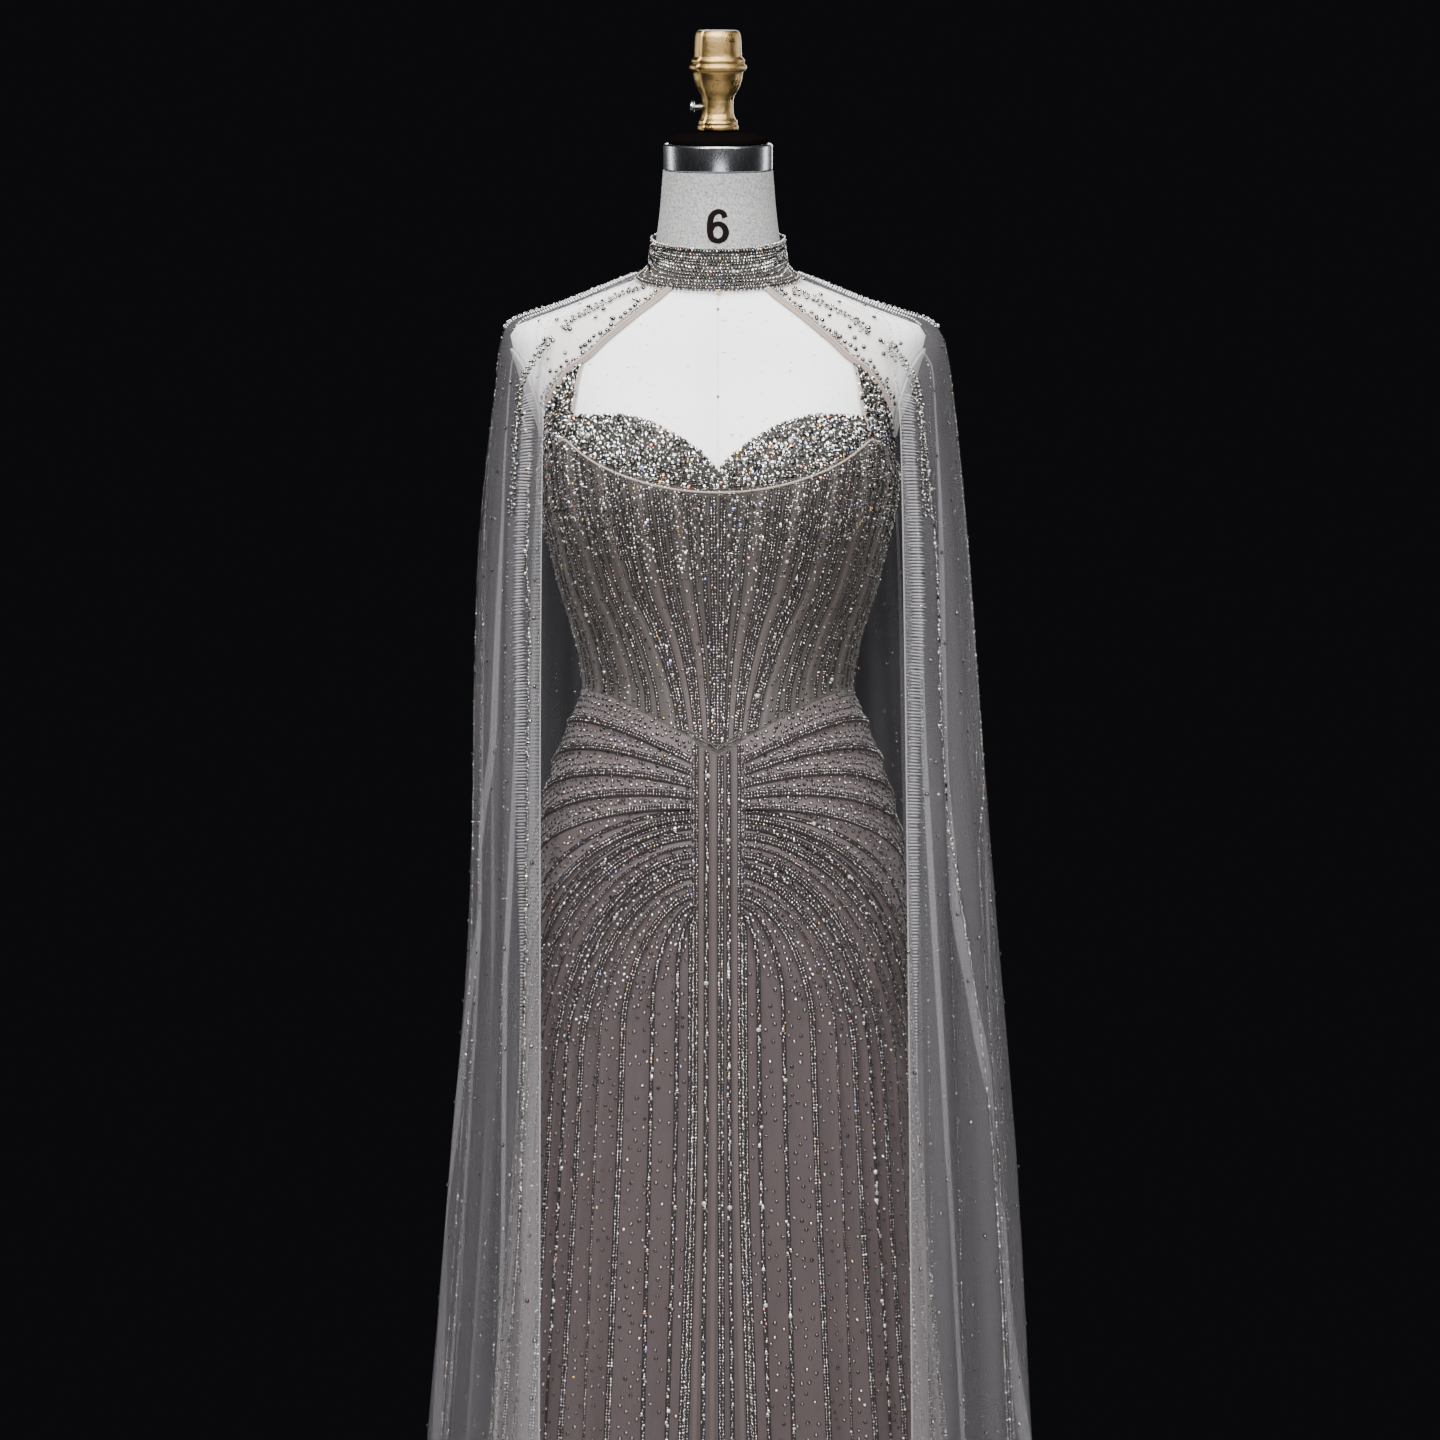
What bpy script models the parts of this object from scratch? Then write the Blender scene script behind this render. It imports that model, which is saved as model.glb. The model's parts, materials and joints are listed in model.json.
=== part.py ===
"""Evening gown with a floor-length cape, worn by a limbless dress form on a stand.

Metres, +Z up. The front faces -Y and the wearer's left is +X. The origin is on the floor,
at the centre of the stand's base.

Each cloth piece is a closed wall worked out from a surface: the form's own body surface, the
skirt or the cape. A surface is a short table of level sections. A place on it is a turn, in
radians, and a height: turn -90 degrees is centre front, 0 is the wearer's left side and 90
degrees is centre back. Pieces on the right side are the left ones mirrored.
"""
import math

import bmesh
import bpy
import numpy as np

# ---------------------------------------------------------------- driving dimensions

SEAM_GAP = 0.0003           # air left between two pieces that touch
CLOTH = 0.0018              # thickness of the beaded cloth
NET = 0.0012                # thickness of the cape's and the yoke's net
REST_GAP = 0.0019           # between the form and the gown that it wears
COLLAR_REST = 0.0010        # the collar and the yoke sit closest to the form
COLLAR_WALL = 0.0026
BINDING_WIDTH = 0.006
BINDING_RISE = 0.0012
SIDE_INSET = 0.0014         # turn kept back from a seam of the skirt's front, in radians
BOUND_GAP = 0.0008          # beside the binding, whose edge bends sharply
WAIST_HEIGHT = 1.051
WAIST_POINT = 0.9933        # lowest point of the basque seam, at centre front
BUST_TOP = 0.050            # how far a cup's top edge rises from the centre front
HEM_HEIGHT = 0.007
CAPE_HEM_HEIGHT = 0.010
FORM_BOTTOM = 0.740
FORM_TOP = 1.517            # at the neck's axis
NECK_STRAIGHT = 1.478       # above this the neck leans into its tilted top
NECK_TILT = math.radians(12.0)
NECK_CENTRE = -0.004        # the top of the neck lies a little forward of the pole
PLATE_REST = 0.0011         # under the arm plates
PLATE_THICKNESS = 0.0025
BASE_RADIUS = 0.185
POLE_RADIUS = 0.016
RIDGE_RISE = 0.0032
FLUTES = 11                 # shallow flutes round the skirt's hem
FLUTE_DEPTH = 0.006
BUTTON_RADIUS = 0.0036
LOWEST_BUTTON = 1.4544
BUTTON_PITCH = 0.0074
COLLAR_SLIT = 0.01          # turn kept back each side of the collar's opening, in radians
CAPE_SLIT = 0.0008          # the same between the cape's halves at the centre back
CUP_PADDING = 0.0015        # how far a cup's middle stands out
WING_TOP = 1.318
YOKE_BOTTOM = 1.2645
BINDING_BOTTOM = 1.2765
CAPE_REST = 0.0034          # the cape over the shoulders, clear of the yoke and the form
CAPE_SEAM_TURN = math.radians(-40.0)    # the cape's front edge where it is sewn to the yoke
CAPE_LEAVES_YOKE = 1.352    # below this height the cape's front edge hangs free
CAPE_EDGE_DROP = 0.060

FRONT, SIDE, BACK = -math.pi / 2, 0.0, math.pi / 2

# The form's level sections: half widths and depths from the pole's axis, and how square each is.
FORM_SECTIONS = np.array([      # height, left, right, front, back, squareness
    (0.740, 0.1600, 0.1600, 0.112, 0.122, 2.20),
    (0.800, 0.1640, 0.1640, 0.116, 0.131, 2.20),
    (0.850, 0.1655, 0.1655, 0.117, 0.136, 2.20),
    (0.900, 0.1625, 0.1625, 0.117, 0.133, 2.20),
    (0.950, 0.1535, 0.1535, 0.113, 0.120, 2.15),
    (1.000, 0.1375, 0.1375, 0.103, 0.101, 2.10),
    (1.030, 0.1255, 0.1255, 0.096, 0.091, 2.10),
    (1.054, 0.1185, 0.1185, 0.092, 0.087, 2.10),
    (1.081, 0.1220, 0.1220, 0.092, 0.088, 2.10),
    (1.108, 0.1285, 0.1285, 0.094, 0.091, 2.15),
    (1.140, 0.1390, 0.1390, 0.098, 0.097, 2.20),
    (1.178, 0.1480, 0.1480, 0.103, 0.104, 2.30),
    (1.216, 0.1570, 0.1570, 0.107, 0.109, 2.40),
    (1.246, 0.1595, 0.1595, 0.107, 0.112, 2.50),
    (1.275, 0.1570, 0.1570, 0.101, 0.113, 2.60),
    (1.320, 0.1665, 0.1665, 0.088, 0.110, 2.60),
    (1.352, 0.1770, 0.1770, 0.080, 0.105, 2.50),
    (1.366, 0.1815, 0.1815, 0.076, 0.101, 2.40),
    (1.375, 0.1780, 0.1780, 0.073, 0.097, 2.30),
    (1.383, 0.1640, 0.1640, 0.070, 0.092, 2.20),
    (1.3925, 0.1410, 0.1410, 0.066, 0.087, 2.15),
    (1.4045, 0.1110, 0.1110, 0.062, 0.080, 2.10),
    (1.4145, 0.0860, 0.0860, 0.058, 0.074, 2.10),
    (1.422, 0.0675, 0.0675, 0.056, 0.069, 2.05),
    (1.430, 0.0595, 0.0595, 0.054, 0.064, 2.00),
    (1.446, 0.0570, 0.0570, 0.053, 0.058, 2.00),
    (1.480, 0.0525, 0.0525, 0.053, 0.053, 2.00),
    (1.517, 0.0495, 0.0495, 0.056, 0.048, 2.00),
])

# The skirt follows the form down to the hip and then hangs to the floor.
SKIRT_HANG = np.array([         # the same columns
    (0.000, 0.2360, 0.2360, 0.198, 0.234, 2.05),
    (0.150, 0.2210, 0.2210, 0.181, 0.212, 2.10),
    (0.375, 0.2000, 0.2000, 0.157, 0.184, 2.15),
    (0.600, 0.1810, 0.1810, 0.136, 0.160, 2.20),
    (0.740, 0.1715, 0.1715, 0.124, 0.146, 2.20),
])
SKIRT_SECTIONS = np.vstack([SKIRT_HANG, FORM_SECTIONS[2:9]])

# The cape falls clear of the body from the shoulders to the floor.
CAPE_SECTIONS = np.array([      # the same columns
    (0.000, 0.2920, 0.2720, 0.216, 0.264, 2.35),
    (0.375, 0.2670, 0.2440, 0.181, 0.226, 2.35),
    (0.620, 0.2574, 0.2275, 0.158, 0.199, 2.40),
    (0.850, 0.2421, 0.2145, 0.147, 0.176, 2.40),
    (1.040, 0.2291, 0.2111, 0.138, 0.150, 2.40),
    (1.170, 0.2206, 0.2080, 0.128, 0.132, 2.40),
    (1.270, 0.2113, 0.2010, 0.114, 0.122, 2.45),
    (1.320, 0.2059, 0.1955, 0.101, 0.114, 2.45),
    (1.350, 0.2014, 0.1925, 0.088, 0.107, 2.45),
    (1.366, 0.1975, 0.1900, 0.080, 0.103, 2.40),
    (1.377, 0.1920, 0.1860, 0.076, 0.099, 2.35),
    (1.385, 0.1780, 0.1750, 0.073, 0.094, 2.25),
    (1.397, 0.1440, 0.1430, 0.068, 0.087, 2.15),
    (1.440, 0.0640, 0.0640, 0.056, 0.064, 2.10),
])

# The two edges of the halter yoke, by height: across from centre front, and by turn.
KEYHOLE_EDGE = np.array([      # height, across
    (1.2680, 0.1303), (1.2725, 0.1299), (1.2910, 0.1254), (1.3300, 0.1200),
    (1.3520, 0.1017), (1.3756, 0.0745), (1.4000, 0.0447), (1.4200, 0.0260),
])
ARMHOLE_EDGE = np.array([      # height, turn in degrees
    (1.255, -16.0), (1.290, -20.0), (1.320, -28.0), (1.345, -36.0), (1.360, -40.0), (1.440, -40.0),
])
WING_EDGE = np.array([         # height, across
    (1.255, 0.1490), (1.290, 0.1395), (1.318, 0.1290), (1.330, 0.1250),
])
PRINCESS_SEAM = np.array([     # height, across
    (0.990, 0.030), (1.045, 0.040), (1.095, 0.056), (1.140, 0.076), (1.240, 0.098), (1.300, 0.105),
])
STRIP_EDGE = np.array([        # height, half width of the skirt's centre strip
    (0.000, 0.0360), (0.375, 0.0290), (0.700, 0.0205), (0.900, 0.0200), (1.050, 0.0200),
])
CAPE_EDGE = np.array([         # height, across on the left side, across on the right side
    (0.000, 0.168, 0.154), (0.900, 0.163, 0.153), (1.270, 0.158, 0.151), (1.400, 0.150, 0.150),
])
# The drape's ridges on each side, from the basque seam down to the strip: each starts on the
# strip at a height, rises and falls over the hip to a knee at a turn, and how round it bends.
# The last ridge that ends on the side seam is SIDE_RIDGES; the others go on to the hem.
DRAPE = np.array([              # start, rise, fall, knee turn in degrees, roundness
    (1.0030, 0.048, 0.000, 0.0, 1.30), (0.9860, 0.046, 0.014, 0.0, 1.30),
    (0.9755, 0.040, 0.032, 0.0, 1.32), (0.9655, 0.030, 0.048, 0.0, 1.35),
    (0.9560, 0.020, 0.066, 0.0, 1.40), (0.9470, 0.010, 0.090, 0.0, 1.45),
    (0.9380, 0.004, 0.205, -5.0, 1.60), (0.9300, 0.000, 0.215, -13.0, 1.65),
    (0.9220, 0.000, 0.212, -21.0, 1.70), (0.9140, 0.000, 0.205, -29.0, 1.70),
    (0.9060, 0.000, 0.195, -37.0, 1.70), (0.8975, 0.000, 0.175, -43.0, 1.70),
    (0.8890, 0.000, 0.160, -49.5, 1.70), (0.8800, 0.000, 0.140, -56.0, 1.70),
    (0.8710, 0.000, 0.115, -64.0, 1.70), (0.8630, 0.000, 0.085, -73.0, 1.70),
    (0.8560, 0.000, 0.050, -80.0, 1.70), (0.8480, 0.000, 0.012, -84.0, 1.70),
])
SIDE_RIDGES = 5.5
# Soft folds of each half cape: place round it from front edge to centre back, spread, depth at hem.
CAPE_FOLDS = np.array([
    (0.06, 0.034, 0.013), (0.19, 0.038, 0.017), (0.33, 0.036, 0.022), (0.48, 0.040, 0.019),
    (0.62, 0.036, 0.023), (0.77, 0.040, 0.019), (0.91, 0.038, 0.018),
])

# ---------------------------------------------------------------- surfaces


def row_at(table, height):
    """Each column of a table at the given heights, on smooth curves that never overshoot."""
    heights, values = table[:, 0], table[:, 1:]
    step = np.diff(heights)[:, None]
    rate = np.diff(values, axis=0) / step
    before, after = rate[:-1], rate[1:]
    same_way = before * after > 0
    weight = step[:-1] + step[1:]
    with np.errstate(divide="ignore", invalid="ignore"):
        mean = 3 * weight / ((weight + step[1:]) / before + (weight + step[:-1]) / after)
    slope = np.vstack([rate[:1], np.where(same_way, mean, 0.0), rate[-1:]])
    height = np.clip(height, heights[0], heights[-1])
    row = np.clip(np.searchsorted(heights, height) - 1, 0, len(heights) - 2)
    span = step[row, 0]
    part = ((height - heights[row]) / span)[..., None]
    span = span[..., None]
    return ((2 * part ** 3 - 3 * part ** 2 + 1) * values[row]
            + (part ** 3 - 2 * part ** 2 + part) * span * slope[row]
            + (3 * part ** 2 - 2 * part ** 3) * values[row + 1]
            + (part ** 3 - part ** 2) * span * slope[row + 1])


def smooth(value):
    """0 to 1 with level ends."""
    value = np.clip(value, 0.0, 1.0)
    return value * value * (3.0 - 2.0 * value)


def section_point(table, turn, height):
    """A point on a stack of rounded level sections."""
    left, right, front, back, squareness = np.moveaxis(row_at(table, height), -1, 0)
    across, along = np.cos(turn), np.sin(turn)
    power = 2.0 / squareness
    x = np.where(across >= 0, left, right) * np.sign(across) * np.abs(across) ** power
    y = np.where(along >= 0, back, front) * np.sign(along) * np.abs(along) ** power
    return np.stack([x, y, height + 0.0 * x], axis=-1)


def bust_depth(x, height):
    """How far the two rounds of the bust stand out from the front sections."""
    spread = np.where(height > 1.218, 0.056, 0.044)
    level = np.exp(-((height - 1.218) / spread) ** 2 / 2)
    return 0.025 * level * np.exp(-((np.abs(x) - 0.080) / 0.043) ** 2 / 2)


def form_surface(turn, height):
    """The dress form's body."""
    point = section_point(FORM_SECTIONS, turn, height)
    facing = np.clip(-np.sin(turn), 0.0, 1.0) ** 0.5
    point[..., 1] -= facing * bust_depth(point[..., 0], point[..., 2])
    lean = np.clip((height - NECK_STRAIGHT) / (FORM_TOP - NECK_STRAIGHT), 0.0, 1.0)
    point[..., 2] += lean * (point[..., 1] - NECK_CENTRE) * math.tan(NECK_TILT)
    return point


def skirt_surface(turn, height):
    """The skirt: over the hips, then a slim column that widens to the hem in shallow flutes."""
    point = section_point(SKIRT_SECTIONS, turn, height)
    grow = smooth((0.70 - height) / 0.70)
    wave = 1.0 + (FLUTE_DEPTH / 0.2) * grow * np.cos(2 * FLUTES * turn)
    point[..., :2] *= wave[..., None]
    return point


def cape_surface(turn, height):
    """The cape: on the form over the shoulders, and free of it from the shoulder tips down."""
    hanging = section_point(CAPE_SECTIONS, turn, height)
    worn = form_surface(turn, np.maximum(height, 1.20))
    worn[..., 2] = height
    toward_side = np.cos(turn) ** 4
    leaves = 1.344 + 0.054 * toward_side
    drop = 0.075 - 0.045 * toward_side
    free = smooth((leaves - height) / drop)[..., None]
    return worn + free * (hanging - worn)


def frame_on(surface, turn, height):
    """Points of a surface and the directions straight out of it."""
    turn_step, height_step = 2e-3, 5e-4
    point = surface(turn, height)
    round_it = surface(turn + turn_step, height) - surface(turn - turn_step, height)
    up_it = surface(turn, height + height_step) - surface(turn, height - height_step)
    out = np.cross(round_it, up_it)
    return point, out / np.linalg.norm(out, axis=-1, keepdims=True)


def turn_at(table, across, height):
    """The turn on the front where a section is this far across from centre front."""
    left, squareness = row_at(table, height)[..., 0], row_at(table, height)[..., 4]
    return -np.arccos(np.clip(across / left, 0.0, 1.0) ** (squareness / 2))


def turned_on(surface, turn, height, distance):
    """The turn that lies a distance round the surface from another."""
    step = 1e-3
    speed = np.linalg.norm(surface(turn + step, height) - surface(turn, height), axis=-1) / step
    return turn + distance / speed


# ---------------------------------------------------------------- making


def finish(name, colour, roughness, metallic=0.0):
    """A plain finish, with its colour as three sRGB values from 0 to 255."""
    material = bpy.data.materials.new(name)
    material.use_nodes = True
    shader = material.node_tree.nodes["Principled BSDF"]
    linear = [((c / 255 + 0.055) / 1.055) ** 2.4 if c > 10 else c / 255 / 12.92 for c in colour]
    shader.inputs["Base Color"].default_value = (*linear, 1.0)
    shader.inputs["Roughness"].default_value = roughness
    shader.inputs["Metallic"].default_value = metallic
    return material


def add_object(name, mesh_data, material):
    """An object from a bmesh, smooth but for its sharp edges."""
    mesh = bpy.data.meshes.new(name)
    bmesh.ops.recalc_face_normals(mesh_data, faces=mesh_data.faces)
    if mesh_data.calc_volume(signed=True) < 0:
        bmesh.ops.reverse_faces(mesh_data, faces=mesh_data.faces)
    mesh_data.to_mesh(mesh)
    mesh_data.free()
    mesh.shade_smooth()
    mesh.set_sharp_from_angle(angle=math.radians(40))
    mesh.materials.append(material)
    created = bpy.data.objects.new(name, mesh)
    bpy.context.scene.collection.objects.link(created)
    return created


def box_of_grids(inner, outer):
    """A closed wall between two grids of points."""
    mesh_data = bmesh.new()
    rows, columns = inner.shape[:2]
    layers = [[[mesh_data.verts.new(point) for point in line] for line in grid]
              for grid in (inner, outer)]
    for row in range(rows - 1):
        for column in range(columns - 1):
            for grid in layers:
                corners = (grid[row][column], grid[row][column + 1],
                           grid[row + 1][column + 1], grid[row + 1][column])
                mesh_data.faces.new(corners)
    rim = [(0, c) for c in range(columns)] + [(r, columns - 1) for r in range(1, rows)]
    rim += [(rows - 1, c) for c in range(columns - 2, -1, -1)]
    rim += [(r, 0) for r in range(rows - 2, 0, -1)]
    for (row_a, column_a), (row_b, column_b) in zip(rim, rim[1:] + rim[:1]):
        mesh_data.faces.new((layers[0][row_a][column_a], layers[0][row_b][column_b],
                             layers[1][row_b][column_b], layers[1][row_a][column_a]))
    return mesh_data


def mirrored(turn, side):
    """The same turn on the left side (+1) or the right side (-1)."""
    return turn if side > 0 else math.pi - turn


def wall(name, material, surface, turn, height, inner, outer, side=1, relief=0.0):
    """A cloth wall over a grid of turns and heights, from inner to outer off the surface."""
    point, out = frame_on(surface, mirrored(turn, side), height)
    raised = (outer + relief) * np.ones_like(height)
    return add_object(name, box_of_grids(point + out * inner, point + out * raised[..., None]),
                      material)


def patch(start, end, low, high, columns, rows, surface):
    """A grid between two side edges, turn by height, and two level edges, height by turn.

    The rows are a number of even ones, or the share of the height that each one lies at. The
    grid stops half a seam gap short of each edge.
    """
    levels = np.linspace(0, 1, rows + 1) if np.isscalar(rows) else np.asarray(rows)
    along, up = np.meshgrid(np.linspace(0, 1, columns + 1), levels)
    height = (low(np.full_like(up, FRONT / 2)) + high(np.full_like(up, FRONT / 2))) / 2
    for _ in range(12):
        turn = start(height) + (end(height) - start(height)) * along
        span = high(turn) - low(turn)
        height = low(turn) + SEAM_GAP / 2 + (span - SEAM_GAP) * up
    inset_start = turned_on(surface, start(height), height, SEAM_GAP / 2)
    inset_end = turned_on(surface, end(height), height, -SEAM_GAP / 2)
    return inset_start + (inset_end - inset_start) * along, height


def constant(value):
    """An edge that stays at one turn or one height."""
    return lambda other: np.full_like(other, value)


def lathe(name, material, profile, segments):
    """A turned solid from (radius, height) pairs that start and end on the axis."""
    mesh_data = bmesh.new()
    ends = [mesh_data.verts.new((0, 0, profile[0][1])), mesh_data.verts.new((0, 0, profile[-1][1]))]
    rings = []
    for radius, height in profile[1:-1]:
        ring = []
        for step in range(segments):
            angle = 2 * math.pi * step / segments
            ring.append(mesh_data.verts.new((radius * math.cos(angle), radius * math.sin(angle),
                                             height)))
        rings.append(ring)
    for low, high in zip(rings, rings[1:]):
        for step in range(segments):
            following = (step + 1) % segments
            mesh_data.faces.new((low[step], low[following], high[following], high[step]))
    for end, ring in zip(ends, (rings[0], rings[-1])):
        for step in range(segments):
            mesh_data.faces.new((end, ring[step], ring[(step + 1) % segments]))
    return add_object(name, mesh_data, material)


# ---------------------------------------------------------------- edges shared by the pieces


def collar_bottom(turn):
    """The collar's lower edge dips to the front."""
    return 1.4290 + 0.0245 * np.sin(turn) - 0.0030 * np.sin(turn) ** 2


def collar_top(turn):
    """The collar's upper edge dips less."""
    return 1.4560 + 0.0170 * np.sin(turn)


def under_collar(turn):
    """Where the yoke, the binding and the cape end below the collar."""
    return collar_bottom(turn) - SEAM_GAP


def waist_seam(turn):
    """The basque seam: level at the back, with a point at centre front."""
    across = np.cos(np.minimum(turn, SIDE)) ** 0.95
    return WAIST_HEIGHT - (WAIST_HEIGHT - WAIST_POINT) * (1.0 - across) ** 1.35


def bodice_top(turn):
    """The bodice's U-shaped upper edge, falling to the underarm and level at the back."""
    across = 0.157 * np.cos(np.clip(turn, FRONT, SIDE)) ** 0.83
    rise = 1.224 + 0.048 * np.minimum(across / 0.129, 1.0) ** 2.6
    toward_side = smooth((turn + math.radians(38)) / math.radians(38))
    return rise - 0.029 * toward_side


def cup_top(turn):
    """The sweetheart edge."""
    across = 0.157 * np.cos(np.clip(turn, FRONT, SIDE)) ** 0.83
    return 1.239 + BUST_TOP * np.sin(math.pi / 2 * np.minimum(across / 0.090, 1.0)) ** 0.8


def keyhole(height):
    """The keyhole's edge, as a turn."""
    return turn_at(FORM_SECTIONS, row_at(KEYHOLE_EDGE, height)[..., 0], height)


def keyhole_bound(height):
    """Where the keyhole's binding ends."""
    return turned_on(form_surface, keyhole(height), height, BINDING_WIDTH)


def beside_binding(height):
    """Where the yoke or the wing begins."""
    return turned_on(form_surface, keyhole(height), height, BINDING_WIDTH + BOUND_GAP)


def princess(height):
    """The princess seam, as a turn."""
    return turn_at(FORM_SECTIONS, row_at(PRINCESS_SEAM, height)[..., 0], height)


def wing_outer(height):
    """The wing's outer edge, as a turn."""
    return turn_at(FORM_SECTIONS, row_at(WING_EDGE, height)[..., 0], height)


def beside_wing(height):
    """Where the yoke begins outside the wing."""
    return turned_on(form_surface, wing_outer(height), height, BOUND_GAP)


def armhole(height):
    """The yoke's armhole, which runs on up as its seam with the cape."""
    return np.radians(row_at(ARMHOLE_EDGE, height)[..., 0])


def strip_edge(height):
    """The side of the skirt's centre strip, as a turn."""
    return turn_at(SKIRT_SECTIONS, row_at(STRIP_EDGE, height)[..., 0], height)


def cape_front(height, side):
    """The cape's front edge: along the yoke, then straight down from the armhole."""
    column = 0 if side > 0 else 1
    hanging = CAPE_SECTIONS[:, [0, 1 + column, 1 + column, 3, 4, 5]]
    free = turn_at(hanging, row_at(CAPE_EDGE, height)[..., column], height)
    share = smooth((CAPE_LEAVES_YOKE - height) / CAPE_EDGE_DROP)
    return CAPE_SEAM_TURN + share * (free - CAPE_SEAM_TURN)


# ---------------------------------------------------------------- the gown


# Heights of the rows, as shares: close where the shoulder rounds over and where the hips curve.
YOKE_ROWS = (0, 0.16, 0.31, 0.40, 0.46, 0.52, 0.60, 0.68, 0.735, 0.79, 0.85, 0.92, 1)
SKIRT_ROWS = (0, 0.15, 0.30, 0.45, 0.59, 0.70, 0.76, 0.81, 0.85, 0.885, 0.915, 0.94, 0.96, 0.98, 1)
CAPE_ROWS = (0, 0.22, 0.44, 0.66, 0.86, 1.03, 1.17, 1.26, 1.315, 1.342, 1.355, 1.363, 1.369, 1.375,
             1.382, 1.390, 1.399, 1.409)


def under_basque(turn):
    """Where the skirt begins below the bodice."""
    return waist_seam(np.where(turn < FRONT, 2 * FRONT - turn, turn)) - SEAM_GAP


def make_collar(beaded):
    """A stand collar, open at the centre back and closed there by buttons."""
    turn, height = patch(constant(FRONT * 3 + COLLAR_SLIT), constant(BACK - COLLAR_SLIT),
                         collar_bottom, collar_top, 32, 3, form_surface)
    wall("collar", beaded, form_surface, turn, height, COLLAR_REST, COLLAR_REST + COLLAR_WALL)
    for number in range(3):
        level = np.array(LOWEST_BUTTON + BUTTON_PITCH * number)
        point, out = frame_on(form_surface, np.array(BACK), level)
        ball = bmesh.new()
        bmesh.ops.create_uvsphere(ball, u_segments=8, v_segments=5, radius=BUTTON_RADIUS)
        button = add_object(f"collar_button_{number + 1}", ball, beaded)
        reach = COLLAR_REST + COLLAR_WALL + SEAM_GAP + BUTTON_RADIUS
        button.location = point + out * reach


def make_yoke(side, word, net, beaded):
    """Half of the halter: its net yoke and the binding of its keyhole."""
    def above_wing(height):
        return np.where(height > WING_TOP, beside_binding(height), beside_wing(height))

    turn, height = patch(above_wing, armhole, constant(YOKE_BOTTOM), under_collar, 6, YOKE_ROWS,
                         form_surface)
    wall(f"yoke_front_{word}", net, form_surface, turn, height, COLLAR_REST, COLLAR_REST + NET, side)
    turn, height = patch(keyhole, keyhole_bound, constant(BINDING_BOTTOM), under_collar, 2,
                         12, form_surface)
    rise = BINDING_RISE * np.array([0.0, 1.0, 0.0])
    wall(f"keyhole_binding_{word}", beaded, form_surface, turn, height, COLLAR_REST,
         COLLAR_REST + CLOTH, side, rise)


def make_bodice(side, word, beaded):
    """Half of the bodice: three panels, the cup above its U edge and the wing beside it."""
    inner, outer = REST_GAP, REST_GAP + CLOTH
    panels = {
        f"bodice_front_{word}": (constant(FRONT), princess, 6, 10),
        f"bodice_side_front_{word}": (princess, constant(SIDE), 8, 10),
        f"bodice_back_{word}": (constant(SIDE), constant(BACK), 8, 8),
    }
    for name, (start, end, columns, rows) in panels.items():
        turn, height = patch(start, end, waist_seam, bodice_top, columns, rows, form_surface)
        wall(name, beaded, form_surface, turn, height, inner, outer, side)
    turn, height = patch(constant(FRONT), keyhole, bodice_top, cup_top, 10, 4, form_surface)
    wall(f"cup_{word}", beaded, form_surface, turn, height, inner, outer, side,
         CUP_PADDING * np.sin(math.pi * np.linspace(0, 1, 5))[:, None])
    turn, height = patch(beside_binding, wing_outer, bodice_top, constant(WING_TOP), 3, 4,
                         form_surface)
    wall(f"bodice_wing_{word}", beaded, form_surface, turn, height, inner, outer, side)


def drape_line(number, rows):
    """Turns and heights along one line of the drape, from the strip to its knee, evenly spaced."""
    start, rise, fall, knee_turn, roundness = (np.interp(number, range(len(DRAPE)), column)
                                               for column in DRAPE.T)
    if number == 0:
        turn = np.linspace(strip_edge(np.array(start)), SIDE, rows + 1)
        return turn, under_basque(turn)
    bend = np.linspace(0, math.pi / 2, 200)
    first = strip_edge(np.array(start))
    last = min(math.radians(knee_turn), SIDE)
    if number == len(DRAPE) - 1:
        last = first
    across = np.sin(bend) ** (2 / roundness)
    turn = first + (last - first) * across
    seam_shape = (waist_seam(turn) - waist_seam(first)) / (WAIST_HEIGHT - waist_seam(first))
    height = start + rise * seam_shape - fall * (1 - np.cos(bend) ** (2 / roundness))
    points = skirt_surface(turn, height)
    length = np.concatenate([[0], np.cumsum(np.linalg.norm(np.diff(points, axis=0), axis=1))])
    even = np.linspace(0, length[-1], rows + 1)
    return np.interp(even, length, turn), np.interp(even, length, height)


def drape_grids():
    """The skirt front's two grids of turns and heights: over the hip and down to the hem."""
    rows, below = 9, np.array([0.06, 0.20, 0.46, 0.74, 1.0])
    upper = np.arange(0, SIDE_RIDGES + 0.1, 0.5)
    lower = np.arange(SIDE_RIDGES, len(DRAPE) - 0.9, 0.5)
    over_hip = np.stack([np.stack(drape_line(number, rows)) for number in upper], axis=-1)
    to_knee = np.stack([np.stack(drape_line(number, rows)) for number in lower], axis=-1)
    knee_turn, knee_height = to_knee[:, -1]
    height = knee_height + (HEM_HEIGHT - knee_height) * below[:, None]
    widen = np.linspace(0, 1, len(lower)) ** 6
    turn = knee_turn + (strip_edge(height) - strip_edge(knee_height)) * widen
    down = np.concatenate([to_knee, np.stack([turn, height])], axis=1)
    fade_over = 0.35 + 0.65 * np.sin(np.linspace(0.1, 2.7, rows + 1))
    fade_down = np.concatenate([fade_over[:-1], [0.55], 0.50 * (1 - below) ** 1.5])
    crest = [np.abs(np.cos(math.pi * number)) * ((number > 0) & (number < len(DRAPE) - 1))
             for number in (upper, lower)]
    return ((over_hip, fade_over[:, None] * crest[0]), (down, fade_down[:, None] * crest[1]))


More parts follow.
